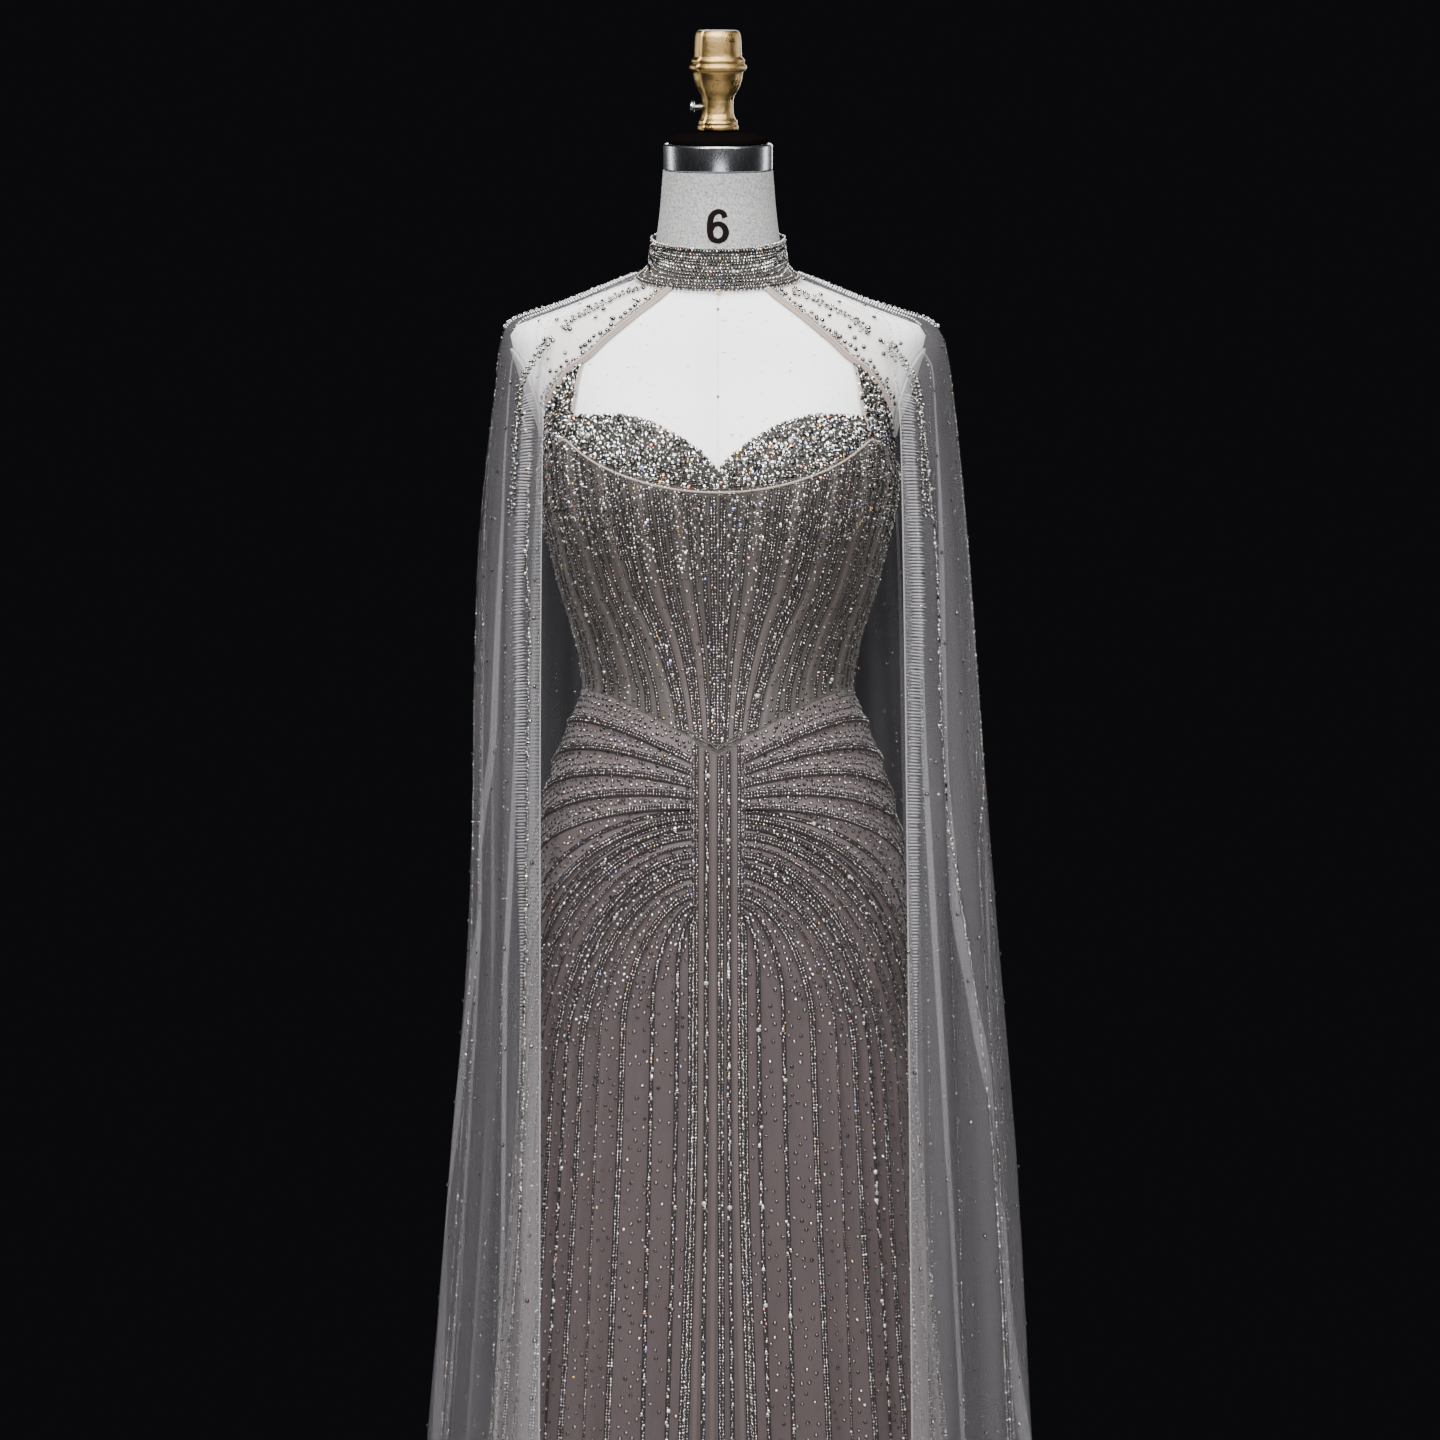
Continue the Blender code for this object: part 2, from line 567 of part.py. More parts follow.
def welded(mesh_data, known, layer, turn, height, points):
    """A grid's vertices, where grids that share a line of turns and heights share vertices."""
    grid = []
    for line_turn, line_height, line in zip(turn, height, points):
        keys = [(layer, round(float(t), 6), round(float(h), 6))
                for t, h in zip(line_turn, line_height)]
        for key, place in zip(keys, line):
            if key not in known:
                known[key] = mesh_data.verts.new(place)
        grid.append([known[key] for key in keys])
    return grid


def make_skirt_front(side, word, beaded):
    """Half of the skirt's front, laid out along the drape's lines.

    Every other column of the grid is a crest. The first grid covers the hip down to the last
    line that ends on the side seam, and the second one shares that line and goes on to the hem.
    """
    mesh_data = bmesh.new()
    known = {}
    rims = {}
    for (turn, height), ridge in drape_grids():
        turn = np.clip(turn, strip_edge(height) + SIDE_INSET, SIDE - SIDE_INSET)
        point, out = frame_on(skirt_surface, mirrored(turn, side), height)
        raised = (REST_GAP + CLOTH + RIDGE_RISE * ridge)[..., None]
        inner = welded(mesh_data, known, "inner", turn, height, point + out * REST_GAP)
        outer = welded(mesh_data, known, "outer", turn, height, point + out * raised)
        for row, column in np.ndindex(len(inner) - 1, len(inner[0]) - 1):
            loop = [(row, column), (row, column + 1), (row + 1, column + 1), (row + 1, column)]
            mesh_data.faces.new([inner[r][c] for r, c in loop])
            mesh_data.faces.new([outer[r][c] for r, c in loop])
            for (row_a, column_a), (row_b, column_b) in zip(loop, loop[1:] + loop[:1]):
                below = (inner[row_a][column_a], inner[row_b][column_b])
                above = (outer[row_b][column_b], outer[row_a][column_a])
                rims.setdefault(frozenset(below), []).append(below + above)
    for quads in rims.values():
        if len(quads) == 1:
            mesh_data.faces.new(quads[0])
    add_object(f"skirt_front_{word}", mesh_data, beaded)


def make_skirt(beaded):
    """The skirt: two draped fronts, the plain strip between them and two backs."""
    inner, outer = REST_GAP, REST_GAP + CLOTH
    turn, height = patch(lambda h: 2 * FRONT - strip_edge(h), strip_edge, constant(HEM_HEIGHT),
                         under_basque, 4, SKIRT_ROWS, skirt_surface)
    wall("skirt_centre_strip", beaded, skirt_surface, turn, height, inner, outer)
    for side, word in ((1, "left"), (-1, "right")):
        make_skirt_front(side, word, beaded)
        turn, height = patch(constant(SIDE), constant(BACK), constant(HEM_HEIGHT),
                             under_basque, 13, SKIRT_ROWS, skirt_surface)
        wall(f"skirt_back_{word}", beaded, skirt_surface, turn, height, inner, outer, side)


def make_cape(side, word, net):
    """Half of the cape, from its front edge round the shoulder to the centre back."""
    along = np.linspace(0, 1, 3 * len(CAPE_FOLDS) + 1)
    along, level = np.meshgrid(along, np.array(CAPE_ROWS) / CAPE_ROWS[-1])
    height = level * CAPE_LEAVES_YOKE
    for _ in range(12):
        start = cape_front(height, side)
        turn = start + (BACK - CAPE_SLIT - start) * along
        height = CAPE_HEM_HEIGHT + level * (under_collar(turn) - CAPE_HEM_HEIGHT)
    turn = turn + 2 * CAPE_SLIT * (1 - along)
    place, spread, depth = CAPE_FOLDS.T[:, :, None, None]
    folds = (np.exp(-((along - place) / spread) ** 2 / 2) * depth).sum(axis=0)
    grow = smooth((1.30 - height) / 1.30) ** 0.8

    point, out = frame_on(cape_surface, mirrored(turn, side), height)
    out_level = out * np.array([1.0, 1.0, 0.0])
    point = point + out_level * (grow * (folds - 0.5 * CAPE_FOLDS[:, 2].mean()))[..., None]
    walls = box_of_grids(point + out * CAPE_REST, point + out * (CAPE_REST + NET))
    add_object(f"cape_{word}", walls, net)


# ---------------------------------------------------------------- the dress form and its stand


def make_form(linen, board, metal, gilt, iron):
    """The limbless body, its arm plates, neck band, cap and finial, and the stand below."""
    rings = np.concatenate([np.arange(FORM_BOTTOM, 0.97, 0.048), np.arange(0.985, 1.12, 0.0195),
                            np.arange(1.135, 1.345, 0.023), [1.352, 1.362, 1.369, 1.376, 1.385],
                            [1.395, 1.405, 1.413, 1.420, 1.427, 1.435, 1.450, 1.478, FORM_TOP]])
    segments = 32
    turn, height = np.meshgrid(np.linspace(0, 2 * math.pi, segments, endpoint=False), rings)
    points = form_surface(turn, height)
    mesh_data = bmesh.new()
    loops = [[mesh_data.verts.new(point) for point in ring] for ring in points]
    for low, high in zip(loops, loops[1:]):
        for step in range(segments):
            following = (step + 1) % segments
            mesh_data.faces.new((low[step], low[following], high[following], high[step]))
    mesh_data.faces.new(loops[0])
    mesh_data.faces.new(loops[-1])
    add_object("form_torso", mesh_data, linen)

    for side, word in ((1, "left"), (-1, "right")):
        ring = np.linspace(0, 2 * math.pi, 16, endpoint=False)[:, None]
        share = np.array([1.0, 0.5])[None, :]
        plate_height = 1.318 + 0.040 * share * np.sin(ring)
        plate_turn = math.radians(20) * share * np.cos(ring)
        point, out = frame_on(form_surface, mirrored(plate_turn, side), plate_height)
        middle, middle_out = frame_on(form_surface, mirrored(np.array(0.0), side), np.array(1.318))
        mesh_data = bmesh.new()
        faces = []
        for distance in (PLATE_REST, PLATE_REST + PLATE_THICKNESS):
            grid = [[mesh_data.verts.new(p) for p in line] for line in point + out * distance]
            hub = mesh_data.verts.new(middle + middle_out * distance)
            for step in range(len(grid)):
                following = grid[(step + 1) % len(grid)]
                mesh_data.faces.new((grid[step][0], following[0], following[1], grid[step][1]))
                mesh_data.faces.new((grid[step][1], following[1], hub))
            faces.append(grid)
        for step in range(len(ring)):
            following = (step + 1) % len(ring)
            mesh_data.faces.new((faces[0][step][0], faces[0][following][0],
                                 faces[1][following][0], faces[1][step][0]))
        add_object(f"form_arm_plate_{word}", mesh_data, board)

    tilt = bpy.data.objects.new("neck_axis", None)
    tilt.location = (0.0, NECK_CENTRE, FORM_TOP + SEAM_GAP)
    tilt.rotation_euler = (NECK_TILT, 0.0, 0.0)
    bpy.context.scene.collection.objects.link(tilt)
    band = [(0, 0.0), (0.0470, 0.0), (0.0490, 0.002), (0.0490, 0.021), (0.0470, 0.0235), (0, 0.0235)]
    cap = [(0, 0.0238), (0.0455, 0.0238), (0.0440, 0.0290), (0.0300, 0.0335), (0.0130, 0.0350),
           (0, 0.0350)]
    finial = [(0, 0.0353), (0.0180, 0.0353), (0.0183, 0.0375), (0.0150, 0.0430), (0.0124, 0.0490),
              (0.0120, 0.0640), (0.0150, 0.0700), (0.0205, 0.0800), (0.0243, 0.0920),
              (0.0258, 0.0965), (0.0250, 0.1000), (0.0215, 0.1020), (0.0207, 0.1060),
              (0.0209, 0.1215), (0.0190, 0.1240), (0, 0.1240)]
    for name, material, profile in (("form_neck_band", metal, band), ("form_neck_cap", iron, cap),
                                    ("form_finial", gilt, finial)):
        lathe(name, material, profile, 20).parent = tilt
    screw = [(0, 0.0), (0.0028, 0.0), (0.0028, 0.0070), (0.0055, 0.0070), (0.0055, 0.0110),
             (0, 0.0110)]
    thumb = lathe("form_finial_screw", gilt, screw, 10)
    thumb.parent = tilt
    thumb.location = (-0.0120 - SEAM_GAP, 0.0, 0.0560)
    thumb.rotation_euler = (0.0, -math.pi / 2, 0.0)

    pole_top = FORM_BOTTOM - SEAM_GAP
    lathe("form_pole", iron, [(0, 0.0303), (0.034, 0.0303), (0.034, 0.045), (0.019, 0.060),
                              (POLE_RADIUS, 0.066), (POLE_RADIUS, pole_top - 0.030),
                              (0.030, pole_top - 0.022), (0.045, pole_top), (0, pole_top)], 16)
    lathe("form_base", iron, [(0, 0.0), (BASE_RADIUS, 0.0), (BASE_RADIUS, 0.008),
                              (BASE_RADIUS - 0.008, 0.014), (0.090, 0.024), (0.045, 0.030),
                              (0, 0.030)], 32)


def make_everything():
    """The whole part, in one frame."""
    for existing in list(bpy.data.objects):
        bpy.data.objects.remove(existing)
    beaded = finish("beaded_net_on_satin", (112, 102, 103), 0.5)
    net = finish("soft_net", (108, 106, 108), 0.8)
    linen = finish("bleached_linen", (232, 230, 226), 0.9)
    board = finish("painted_board", (215, 212, 207), 0.7)
    metal = finish("polished_steel", (190, 188, 186), 0.15, 1.0)
    gilt = finish("gilded_metal", (201, 160, 92), 0.3, 1.0)
    iron = finish("black_iron", (38, 34, 32), 0.5, 1.0)
    make_form(linen, board, metal, gilt, iron)
    make_collar(beaded)
    for side, word in ((1, "left"), (-1, "right")):
        make_yoke(side, word, net, beaded)
        make_bodice(side, word, beaded)
        make_cape(side, word, net)
    make_skirt(beaded)


make_everything()
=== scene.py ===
# %% [markdown]
# # A beaded evening gown with a cape, on its dress form
#
# The gown is a halter: a stand collar carries a sheer net yoke, the yoke carries a corset bodice,
# and a long skirt is draped from a point below the waist. Two halves of soft net hang from the
# shoulders to the floor as a cape. It is worn by a limbless linen form on a pole.
#
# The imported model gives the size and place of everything. Each cloth piece here is a thin shell
# worked out from the same surfaces as its solid, with finer folds, and then come the beads.

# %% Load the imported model
import json
import math
import bpy
import numpy as np
from mathutils.kdtree import KDTree
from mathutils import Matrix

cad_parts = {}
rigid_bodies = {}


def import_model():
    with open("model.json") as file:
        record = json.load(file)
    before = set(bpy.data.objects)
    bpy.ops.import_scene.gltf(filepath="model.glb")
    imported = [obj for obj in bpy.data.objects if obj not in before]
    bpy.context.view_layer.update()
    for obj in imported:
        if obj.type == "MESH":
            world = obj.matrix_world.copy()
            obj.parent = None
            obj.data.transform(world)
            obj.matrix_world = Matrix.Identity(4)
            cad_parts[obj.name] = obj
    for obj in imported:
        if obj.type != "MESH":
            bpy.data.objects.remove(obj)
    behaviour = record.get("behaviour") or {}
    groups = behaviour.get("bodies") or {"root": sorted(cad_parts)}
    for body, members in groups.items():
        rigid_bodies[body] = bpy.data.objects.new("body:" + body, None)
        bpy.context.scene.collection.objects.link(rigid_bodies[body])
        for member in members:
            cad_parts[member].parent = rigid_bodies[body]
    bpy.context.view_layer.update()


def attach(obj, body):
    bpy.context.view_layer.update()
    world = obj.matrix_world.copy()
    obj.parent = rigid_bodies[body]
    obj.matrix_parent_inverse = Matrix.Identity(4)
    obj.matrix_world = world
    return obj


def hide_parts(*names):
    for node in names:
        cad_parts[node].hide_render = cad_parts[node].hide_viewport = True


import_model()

# %% [markdown]
# ## Sizes
#
# A garment is drafted from a few body measures and a handful of curves. These are the sizes and
# tables that the solids were made from: level sections of the form, the skirt and the cape, the
# edges of the pieces, and the lines of the drape.

# %% Named sizes, in metres
SEAM_GAP = 0.0003
CLOTH_FACE = 0.0037         # the gown's outer face, off the form
COLLAR_FACE = 0.0036
NET_FACE = 0.0022           # the yoke's outer face
CAPE_FACE = 0.0046
BINDING_WIDTH = 0.006
BOUND_GAP = 0.0008          # beside the binding
WAIST_HEIGHT = 1.051
WAIST_POINT = 0.9933        # the basque's point
BODICE_HALF = 0.157         # half the bodice's width at its upper edge
BUST_LEVEL, BUST_ACROSS, BUST_DEPTH = 1.218, 0.080, 0.025
BUST_TOP = 0.050            # the cups' rise above the centre front
CUP_PADDING = 0.0015
HEM_HEIGHT = 0.007
CAPE_HEM_HEIGHT = 0.010
FORM_BOTTOM, FORM_TOP = 0.740, 1.517
NECK_STRAIGHT, NECK_CENTRE, NECK_TILT = 1.478, -0.004, math.radians(12)
RIDGE_RISE = 0.0032         # of a tuck above the cloth beside it
FLUTES, FLUTE_DEPTH = 11, 0.006
WING_TOP, YOKE_BOTTOM, BINDING_BOTTOM = 1.336, 1.2645, 1.3020
CAPE_LEAVES_YOKE, CAPE_EDGE_DROP = 1.352, 0.060
FRONT, SIDE, BACK = -math.pi / 2, 0.0, math.pi / 2      # turns, in radians
CAPE_SEAM_TURN = math.radians(-40)
COLLAR_SLIT, CAPE_SLIT, SIDE_INSET = 0.01, 0.0008, 0.0014       # narrow gaps, in radians
SIDES = ((1, "left"), (-1, "right"))                    # the wearer's, +X first
print("waist", WAIST_HEIGHT, "m up, form", round(FORM_TOP - FORM_BOTTOM, 3), "m tall")

# %% Tables of sections and edges
VIEW_DISTANCE, VIEW_HEIGHT, VIEW_ASIDE = 3.3, 1.023, 0.0018     # the camera's place


def both_sides(rows):
    """Sections as (height, left, right, front, back, squareness), from ones with a half width."""
    return np.insert(rows, 2, np.array(rows)[:, 1], axis=1)


FORM_SECTIONS = both_sides([  # height, half width, front, back, squareness
    (0.740, 0.1600, 0.112, 0.122, 2.20), (0.800, 0.1640, 0.116, 0.131, 2.20),
    (0.850, 0.1655, 0.117, 0.136, 2.20), (0.900, 0.1625, 0.117, 0.133, 2.20),
    (0.950, 0.1535, 0.113, 0.120, 2.15), (1.000, 0.1375, 0.103, 0.101, 2.10),
    (1.030, 0.1255, 0.096, 0.091, 2.10), (1.054, 0.1185, 0.092, 0.087, 2.10),
    (1.081, 0.1220, 0.092, 0.088, 2.10), (1.108, 0.1285, 0.094, 0.091, 2.15),
    (1.140, 0.1390, 0.098, 0.097, 2.20), (1.178, 0.1480, 0.103, 0.104, 2.30),
    (1.216, 0.1570, 0.107, 0.109, 2.40), (1.246, 0.1595, 0.107, 0.112, 2.50),
    (1.275, 0.1570, 0.101, 0.113, 2.60), (1.320, 0.1715, 0.088, 0.110, 2.60),
    (1.352, 0.1815, 0.080, 0.105, 2.50), (1.366, 0.1868, 0.076, 0.101, 2.40),
    (1.375, 0.1840, 0.073, 0.097, 2.30), (1.383, 0.1665, 0.070, 0.092, 2.20),
    (1.3925, 0.1410, 0.066, 0.087, 2.15), (1.4045, 0.1110, 0.062, 0.080, 2.10),
    (1.4145, 0.0860, 0.058, 0.074, 2.10), (1.422, 0.0675, 0.056, 0.069, 2.05),
    (1.430, 0.0595, 0.054, 0.064, 2.00), (1.446, 0.0570, 0.053, 0.058, 2.00),
    (1.480, 0.0525, 0.053, 0.053, 2.00), (1.517, 0.0495, 0.056, 0.048, 2.00),
])
SKIRT_SECTIONS = np.vstack([both_sides([
    (0.000, 0.2360, 0.198, 0.234, 2.05), (0.150, 0.2210, 0.181, 0.212, 2.10),
    (0.375, 0.2000, 0.157, 0.184, 2.15), (0.600, 0.1810, 0.136, 0.160, 2.20),
    (0.740, 0.1715, 0.124, 0.146, 2.20)]), FORM_SECTIONS[2:9]])
CAPE_SECTIONS = np.array([  # height, left, right, front, back, squareness
    (0.000, 0.2920, 0.2720, 0.216, 0.264, 2.35), (0.375, 0.2670, 0.2440, 0.181, 0.226, 2.35),
    (0.620, 0.2574, 0.2275, 0.158, 0.199, 2.40), (0.850, 0.2421, 0.2145, 0.147, 0.176, 2.40),
    (1.040, 0.2291, 0.2111, 0.138, 0.150, 2.40), (1.170, 0.2206, 0.2080, 0.128, 0.132, 2.40),
    (1.270, 0.2113, 0.2010, 0.114, 0.122, 2.45), (1.320, 0.2059, 0.1955, 0.101, 0.114, 2.45),
    (1.350, 0.2014, 0.1925, 0.088, 0.107, 2.45), (1.366, 0.1975, 0.1900, 0.080, 0.103, 2.40),
    (1.377, 0.1920, 0.1860, 0.076, 0.099, 2.35), (1.385, 0.1780, 0.1750, 0.073, 0.094, 2.25),
    (1.397, 0.1440, 0.1430, 0.068, 0.087, 2.15), (1.440, 0.0640, 0.0640, 0.056, 0.064, 2.10),
])
KEYHOLE_EDGE = np.array([  # height, across from centre front
    (1.2680, 0.1303), (1.2725, 0.1299), (1.2910, 0.1254), (1.3300, 0.1200),
    (1.3520, 0.1017), (1.3756, 0.0745), (1.4000, 0.0447), (1.4200, 0.0260)])
ARMHOLE_EDGE = np.array([  # height, turn in degrees
    (1.255, -16), (1.290, -20), (1.320, -28), (1.345, -36), (1.360, -40), (1.440, -40)])
WING_EDGE = np.array([(1.255, 0.1530), (1.290, 0.1510), (1.303, 0.1485), (1.313, 0.1430),
                      (1.3294, 0.1315), (1.342, 0.1200)])
PRINCESS_SEAM = np.array([
    (0.990, 0.030), (1.045, 0.040), (1.095, 0.056), (1.140, 0.076), (1.240, 0.098), (1.300, 0.105)])
STRIP_EDGE = np.array([
    (0.000, 0.0360), (0.375, 0.0290), (0.700, 0.0205), (0.900, 0.0200), (1.050, 0.0200)])
CAPE_EDGE = np.array([  # height, across on the left side, across on the right side
    (0.000, 0.168, 0.154), (0.900, 0.163, 0.153), (1.270, 0.158, 0.151), (1.400, 0.150, 0.150)])
DRAPE = np.array([  # start, rise, fall, knee turn in degrees, roundness
    (1.0030, 0.048, 0, 0, 1.30), (0.9860, 0.046, 0.014, 0, 1.30),
    (0.9755, 0.040, 0.032, 0, 1.32), (0.9655, 0.030, 0.048, 0, 1.35),
    (0.9560, 0.020, 0.066, 0, 1.40), (0.9470, 0.010, 0.090, 0, 1.45),
    (0.9380, 0.004, 0.205, -5, 1.60), (0.9300, 0, 0.215, -13, 1.65),
    (0.9220, 0, 0.212, -21, 1.70), (0.9140, 0, 0.205, -29, 1.70),
    (0.9060, 0, 0.195, -37, 1.70), (0.8975, 0, 0.175, -43, 1.70),
    (0.8890, 0, 0.160, -49.5, 1.70), (0.8800, 0, 0.140, -56, 1.70),
    (0.8710, 0, 0.115, -64, 1.70), (0.8630, 0, 0.085, -73, 1.70),
    (0.8560, 0, 0.050, -80, 1.70), (0.8480, 0, 0.012, -84, 1.70)])
SIDE_RIDGES = 5                 # the lines that run into the side seam
CAPE_FOLDS = np.array([  # place round the half cape, spread, depth at the hem
    (0.06, 0.034, 0.013), (0.19, 0.038, 0.017), (0.33, 0.036, 0.022), (0.48, 0.040, 0.019),
    (0.62, 0.036, 0.023), (0.77, 0.040, 0.019), (0.91, 0.038, 0.018)])
CAPE_ROWS = (0, 0.22, 0.44, 0.66, 0.86, 1.03, 1.17, 1.26, 1.315, 1.342, 1.355, 1.363, 1.369, 1.375,
             1.382, 1.390, 1.399, 1.409)
print("body sections:", len(FORM_SECTIONS), " lines of the drape:", len(DRAPE))

# %% [markdown]
# ## Surfaces
#
# A place on a body is a turn and a height: turn -90 degrees is centre front, 0 the wearer's left
# side, 90 degrees centre back. Smooth curves through the tables give a section at any height, so one
# surface carries a coarse solid, a fine cloth or a single bead. Plain arithmetic keeps the cloth
# exactly on its solid, which sculpting by hand would not.

# %% Smooth curves


def row_at(table, height):
    """Each column of a table at the given heights, on smooth curves that never overshoot."""
    heights, values = table[:, 0], table[:, 1:]
    step = np.diff(heights)[:, None]
    rate = np.diff(values, axis=0) / step
    before, after = rate[:-1], rate[1:]
    weight = step[:-1] + step[1:]
    with np.errstate(divide="ignore", invalid="ignore"):
        mean = 3 * weight / ((weight + step[1:]) / before + (weight + step[:-1]) / after)
    slope = np.vstack([rate[:1], np.where(before * after > 0, mean, 0), rate[-1:]])
    height = np.clip(height, heights[0], heights[-1])
    row = np.clip(np.searchsorted(heights, height) - 1, 0, len(heights) - 2)
    span = step[row, 0]
    part = ((height - heights[row]) / span)[..., None]
    span = span[..., None]
    return ((2 * part ** 3 - 3 * part ** 2 + 1) * values[row]
            + (part ** 3 - 2 * part ** 2 + part) * span * slope[row]
            + (3 * part ** 2 - 2 * part ** 3) * values[row + 1]
            + (part ** 3 - part ** 2) * span * slope[row + 1])


def smooth(value):
    """0 to 1 with level ends."""
    value = np.clip(value, 0, 1)
    return value * value * (3 - 2 * value)


print("half the centre strip at 0.5 m:", np.round(row_at(STRIP_EDGE, np.array(0.5)), 4))

# %% Form, skirt and cape


def section_point(table, turn, height):
    """A point on a stack of rounded level sections."""
    left, right, front, back, squareness = np.moveaxis(row_at(table, height), -1, 0)
    across, along = np.cos(turn), np.sin(turn)
    power = 2 / squareness
    x = np.where(across >= 0, left, right) * np.sign(across) * np.abs(across) ** power
    y = np.where(along >= 0, back, front) * np.sign(along) * np.abs(along) ** power
    return np.stack([x, y, height + 0 * x], axis=-1)


def form_surface(turn, height):
    """The dress form's body, with the two rounds of the bust."""
    point = section_point(FORM_SECTIONS, turn, height)
    level = np.exp(-((height - BUST_LEVEL) / np.where(height > BUST_LEVEL, 0.056, 0.044)) ** 2 / 2)
    bust = BUST_DEPTH * level * np.exp(-((np.abs(point[..., 0]) - BUST_ACROSS) / 0.043) ** 2 / 2)
    point[..., 1] -= np.clip(-np.sin(turn), 0, 1) ** 0.5 * bust
    lean = np.clip((height - NECK_STRAIGHT) / (FORM_TOP - NECK_STRAIGHT), 0, 1)
    point[..., 2] += lean * (point[..., 1] - NECK_CENTRE) * math.tan(NECK_TILT)
    return point


def skirt_surface(turn, height):
    """Over the hips, then a slim column that widens to the hem in shallow flutes."""
    point = section_point(SKIRT_SECTIONS, turn, height)
    wave = 1 + (FLUTE_DEPTH / 0.2) * smooth((0.7 - height) / 0.7) * np.cos(2 * FLUTES * turn)
    point[..., :2] *= wave[..., None]
    return point


def cape_surface(turn, height):
    """On the form over the shoulders, and free of it from the shoulder tips down."""
    hanging = section_point(CAPE_SECTIONS, turn, height)
    worn = form_surface(turn, np.maximum(height, 1.2))
    worn[..., 2] = height
    toward_side = np.cos(turn) ** 4
    free = smooth((1.344 + 0.054 * toward_side - height) / (0.075 - 0.045 * toward_side))
    return worn + free[..., None] * (hanging - worn)


print("waist half width:", np.round(form_surface(np.array(SIDE), np.array(WAIST_HEIGHT)), 4))

# %% Directions and distances on a surface


def frame_on(surface, turn, height):
    """Points of a surface and the directions straight out of it."""
    round_it = surface(turn + 2e-3, height) - surface(turn - 2e-3, height)
    up_it = surface(turn, height + 5e-4) - surface(turn, height - 5e-4)
    out = np.cross(round_it, up_it)
    return surface(turn, height), out / np.linalg.norm(out, axis=-1, keepdims=True)


def turn_at(table, across, height):
    """The turn on the front where a section is this far across from centre front."""
    row = row_at(table, height)
    return -np.arccos(np.clip(across / row[..., 0], 0, 1) ** (row[..., 4] / 2))


def turned_on(surface, turn, height, distance):
    """The turn that lies a distance round the surface from another."""
    speed = np.linalg.norm(surface(turn + 1e-3, height) - surface(turn, height), axis=-1) / 1e-3
    return turn + distance / speed


def mirrored(turn, side):
    """The same turn on the left side (+1) or the right side (-1)."""
    return turn if side > 0 else math.pi - turn


print("turn of 0.1 m at the hem:", np.round(turn_at(SKIRT_SECTIONS, 0.1, np.array(0)), 2))

# %% [markdown]
# ### Edges
#
# A pattern piece is the patch between four curves. Two are side seams, a turn for each height, and
# two run across, a height for each turn. Neighbours share a curve, so they meet along all of it.

# %% Edges of the pattern pieces


def constant(value):
    """An edge that stays at one turn or one height."""
    return lambda other: np.full_like(other, value)


def collar_bottom(turn):
    """The collar's lower edge dips to the front."""
    return 1.429 + 0.0245 * np.sin(turn) - 0.003 * np.sin(turn) ** 2


def collar_top(turn):
    """The collar's upper edge dips less."""
    return 1.456 + 0.017 * np.sin(turn)


def under_collar(turn):
    """Where the yoke, its binding and the cape end."""
    return collar_bottom(turn) - SEAM_GAP


def waist_seam(turn):
    """The basque seam: level at the back, with a point at centre front."""
    across = np.cos(np.minimum(turn, SIDE)) ** 0.95
    return WAIST_HEIGHT - (WAIST_HEIGHT - WAIST_POINT) * (1 - across) ** 1.35


def under_basque(turn):
    """Where the skirt begins below the bodice."""
    return waist_seam(np.where(turn < FRONT, 2 * FRONT - turn, turn)) - SEAM_GAP


def bodice_top(turn):
    """The U-shaped upper edge, falling to the underarm and level at the back."""
    across = BODICE_HALF * np.cos(np.clip(turn, FRONT, SIDE)) ** 0.83
    rise = 1.224 + 0.048 * np.minimum(across / 0.129, 1) ** 2.6
    return rise - 0.029 * smooth((turn + math.radians(38)) / math.radians(38))


def cup_top(turn):
    """The sweetheart edge."""
    across = BODICE_HALF * np.cos(np.clip(turn, FRONT, SIDE)) ** 0.83
    return 1.239 + BUST_TOP * np.sin(math.pi / 2 * np.minimum(across / 0.09, 1)) ** 0.8


def edge_from(table, sections):
    """An edge from a table of how far it lies from centre front at each height."""
    return lambda height: turn_at(sections, row_at(table, height)[..., 0], height)


keyhole = edge_from(KEYHOLE_EDGE, FORM_SECTIONS)
princess = edge_from(PRINCESS_SEAM, FORM_SECTIONS)
wing_outer = edge_from(WING_EDGE, FORM_SECTIONS)
strip_edge = edge_from(STRIP_EDGE, SKIRT_SECTIONS)


def yoke_inner(height):
    """The yoke begins at the keyhole's edge, and runs on under the wing."""
    return turned_on(form_surface, keyhole(height), height, BOUND_GAP)


def binding_path(height):
    """The keyhole's binding runs down beside the opening and then out over the wing."""
    middle = turned_on(form_surface, keyhole(height), height, BINDING_WIDTH / 2)
    return np.where(height > 1.345, middle, middle + smooth((1.345 - height) / 0.014)
                    * (wing_outer(height) - middle))


def armhole(height):
    """The yoke's armhole, which runs on up as its seam with the cape."""
    return np.radians(row_at(ARMHOLE_EDGE, height)[..., 0])


def cape_front(height, side):
    """The cape's front edge: along the yoke, then straight down from the armhole."""
    column = 0 if side > 0 else 1
    hanging = CAPE_SECTIONS[:, [0, 1 + column, 1 + column, 3, 4, 5]]
    free = turn_at(hanging, row_at(CAPE_EDGE, height)[..., column], height)
    share = smooth((CAPE_LEAVES_YOKE - height) / CAPE_EDGE_DROP)
    return CAPE_SEAM_TURN + share * (free - CAPE_SEAM_TURN)


print("basque point:", WAIST_POINT, " hem:", HEM_HEIGHT)

